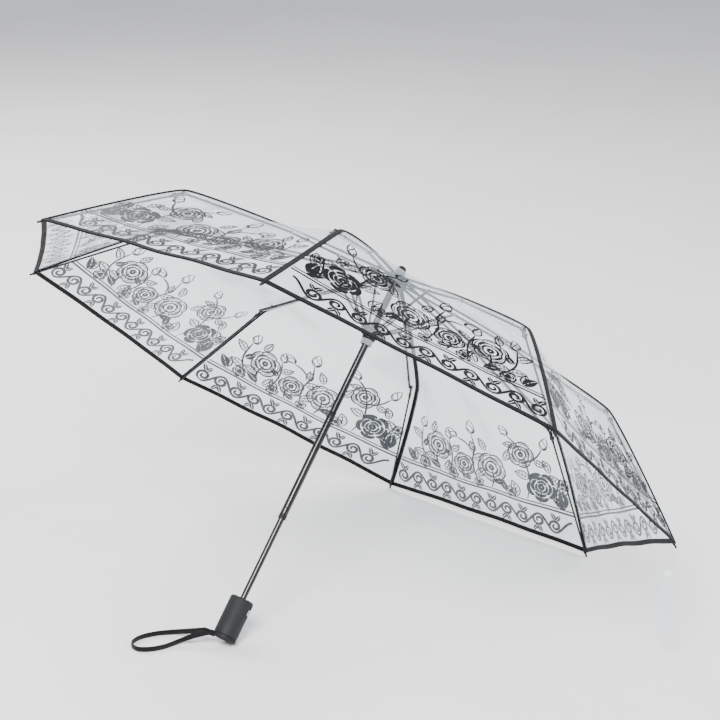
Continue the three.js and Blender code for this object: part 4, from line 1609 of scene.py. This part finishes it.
class UMBRELLA_OT_stage(bpy.types.Operator):
    """Makes the pale floor and the soft lights"""

    bl_idname = "umbrella.stage"
    bl_label = "Stage"

    def execute(self, context):
        half = 30.0
        corners = [(-half, -half, 0), (half, -half, 0), (half, half, 0), (-half, half, 0)]
        floor = Shape().add(corners, [[0, 1, 2, 3]], closed=False).make("floor", [backdrop_paper()])
        world = bpy.data.worlds.new("studio air")
        world.use_nodes = True
        air = world.node_tree.nodes["Background"]
        air.inputs["Color"].default_value = (0.93, 0.95, 1.0, 1)
        air.inputs["Strength"].default_value = 0.8
        context.scene.world = world
        self.softbox("key", (-2.4, -1.2, 2.6), 1.3, 250.0)
        self.softbox("fill", (1.8, -2.4, 2.0), 2.2, 95.0)
        self.softbox("back", (0.8, 2.6, 2.6), 1.8, 150.0)
        return {"FINISHED"}

    @staticmethod
    def softbox(name, spot, size, power):
        data = bpy.data.lights.new(name, "AREA")
        data.size = size
        data.energy = power
        lamp = bpy.data.objects.new(name, data)
        aim = Vector((0, 0, 0.3)) - Vector(spot)
        lamp.matrix_world = Matrix.Translation(spot) @ aim.to_track_quat("-Z", "Y").to_matrix().to_4x4()
        bpy.context.scene.collection.objects.link(lamp)


class UMBRELLA_PT_panel(bpy.types.Panel):
    """Lists the umbrella's sizes, colours and pieces"""

    bl_label = "Umbrella"
    bl_idname = "UMBRELLA_PT_panel"
    bl_space_type = "VIEW_3D"
    bl_region_type = "UI"
    bl_category = "Umbrella"

    def draw(self, context):
        for group in (sizes(), colours()):
            box = self.layout.box()
            for name in group.bl_rna.properties.keys():
                if name not in {"rna_type", "name"}:
                    box.prop(group, name)
        for operator in OPERATORS:
            self.layout.operator(operator.bl_idname)


OPERATORS = (
    UMBRELLA_OT_camera,
    UMBRELLA_OT_wrist_strap,
    UMBRELLA_OT_film,
    UMBRELLA_OT_ornament,
    UMBRELLA_OT_seams,
    UMBRELLA_OT_hem,
    UMBRELLA_OT_ribs,
    UMBRELLA_OT_shaft,
    UMBRELLA_OT_crown,
    UMBRELLA_OT_runner,
    UMBRELLA_OT_handle,
    UMBRELLA_OT_closing_strap,
    UMBRELLA_OT_stage,
)
CLASSES = (UmbrellaSizes, UmbrellaColours, *OPERATORS, UMBRELLA_PT_panel)


def register():
    for made in CLASSES:
        bpy.utils.register_class(made)
    bpy.types.Scene.umbrella_sizes = bpy.props.PointerProperty(type=UmbrellaSizes)
    bpy.types.Scene.umbrella_colours = bpy.props.PointerProperty(type=UmbrellaColours)


def unregister():
    del bpy.types.Scene.umbrella_colours
    del bpy.types.Scene.umbrella_sizes
    for made in reversed(CLASSES):
        bpy.utils.unregister_class(made)


def main():
    register()
    for operator in OPERATORS:
        category, name = operator.bl_idname.split(".")
        getattr(getattr(bpy.ops, category), name)()


if __name__ == "__main__":
    main()
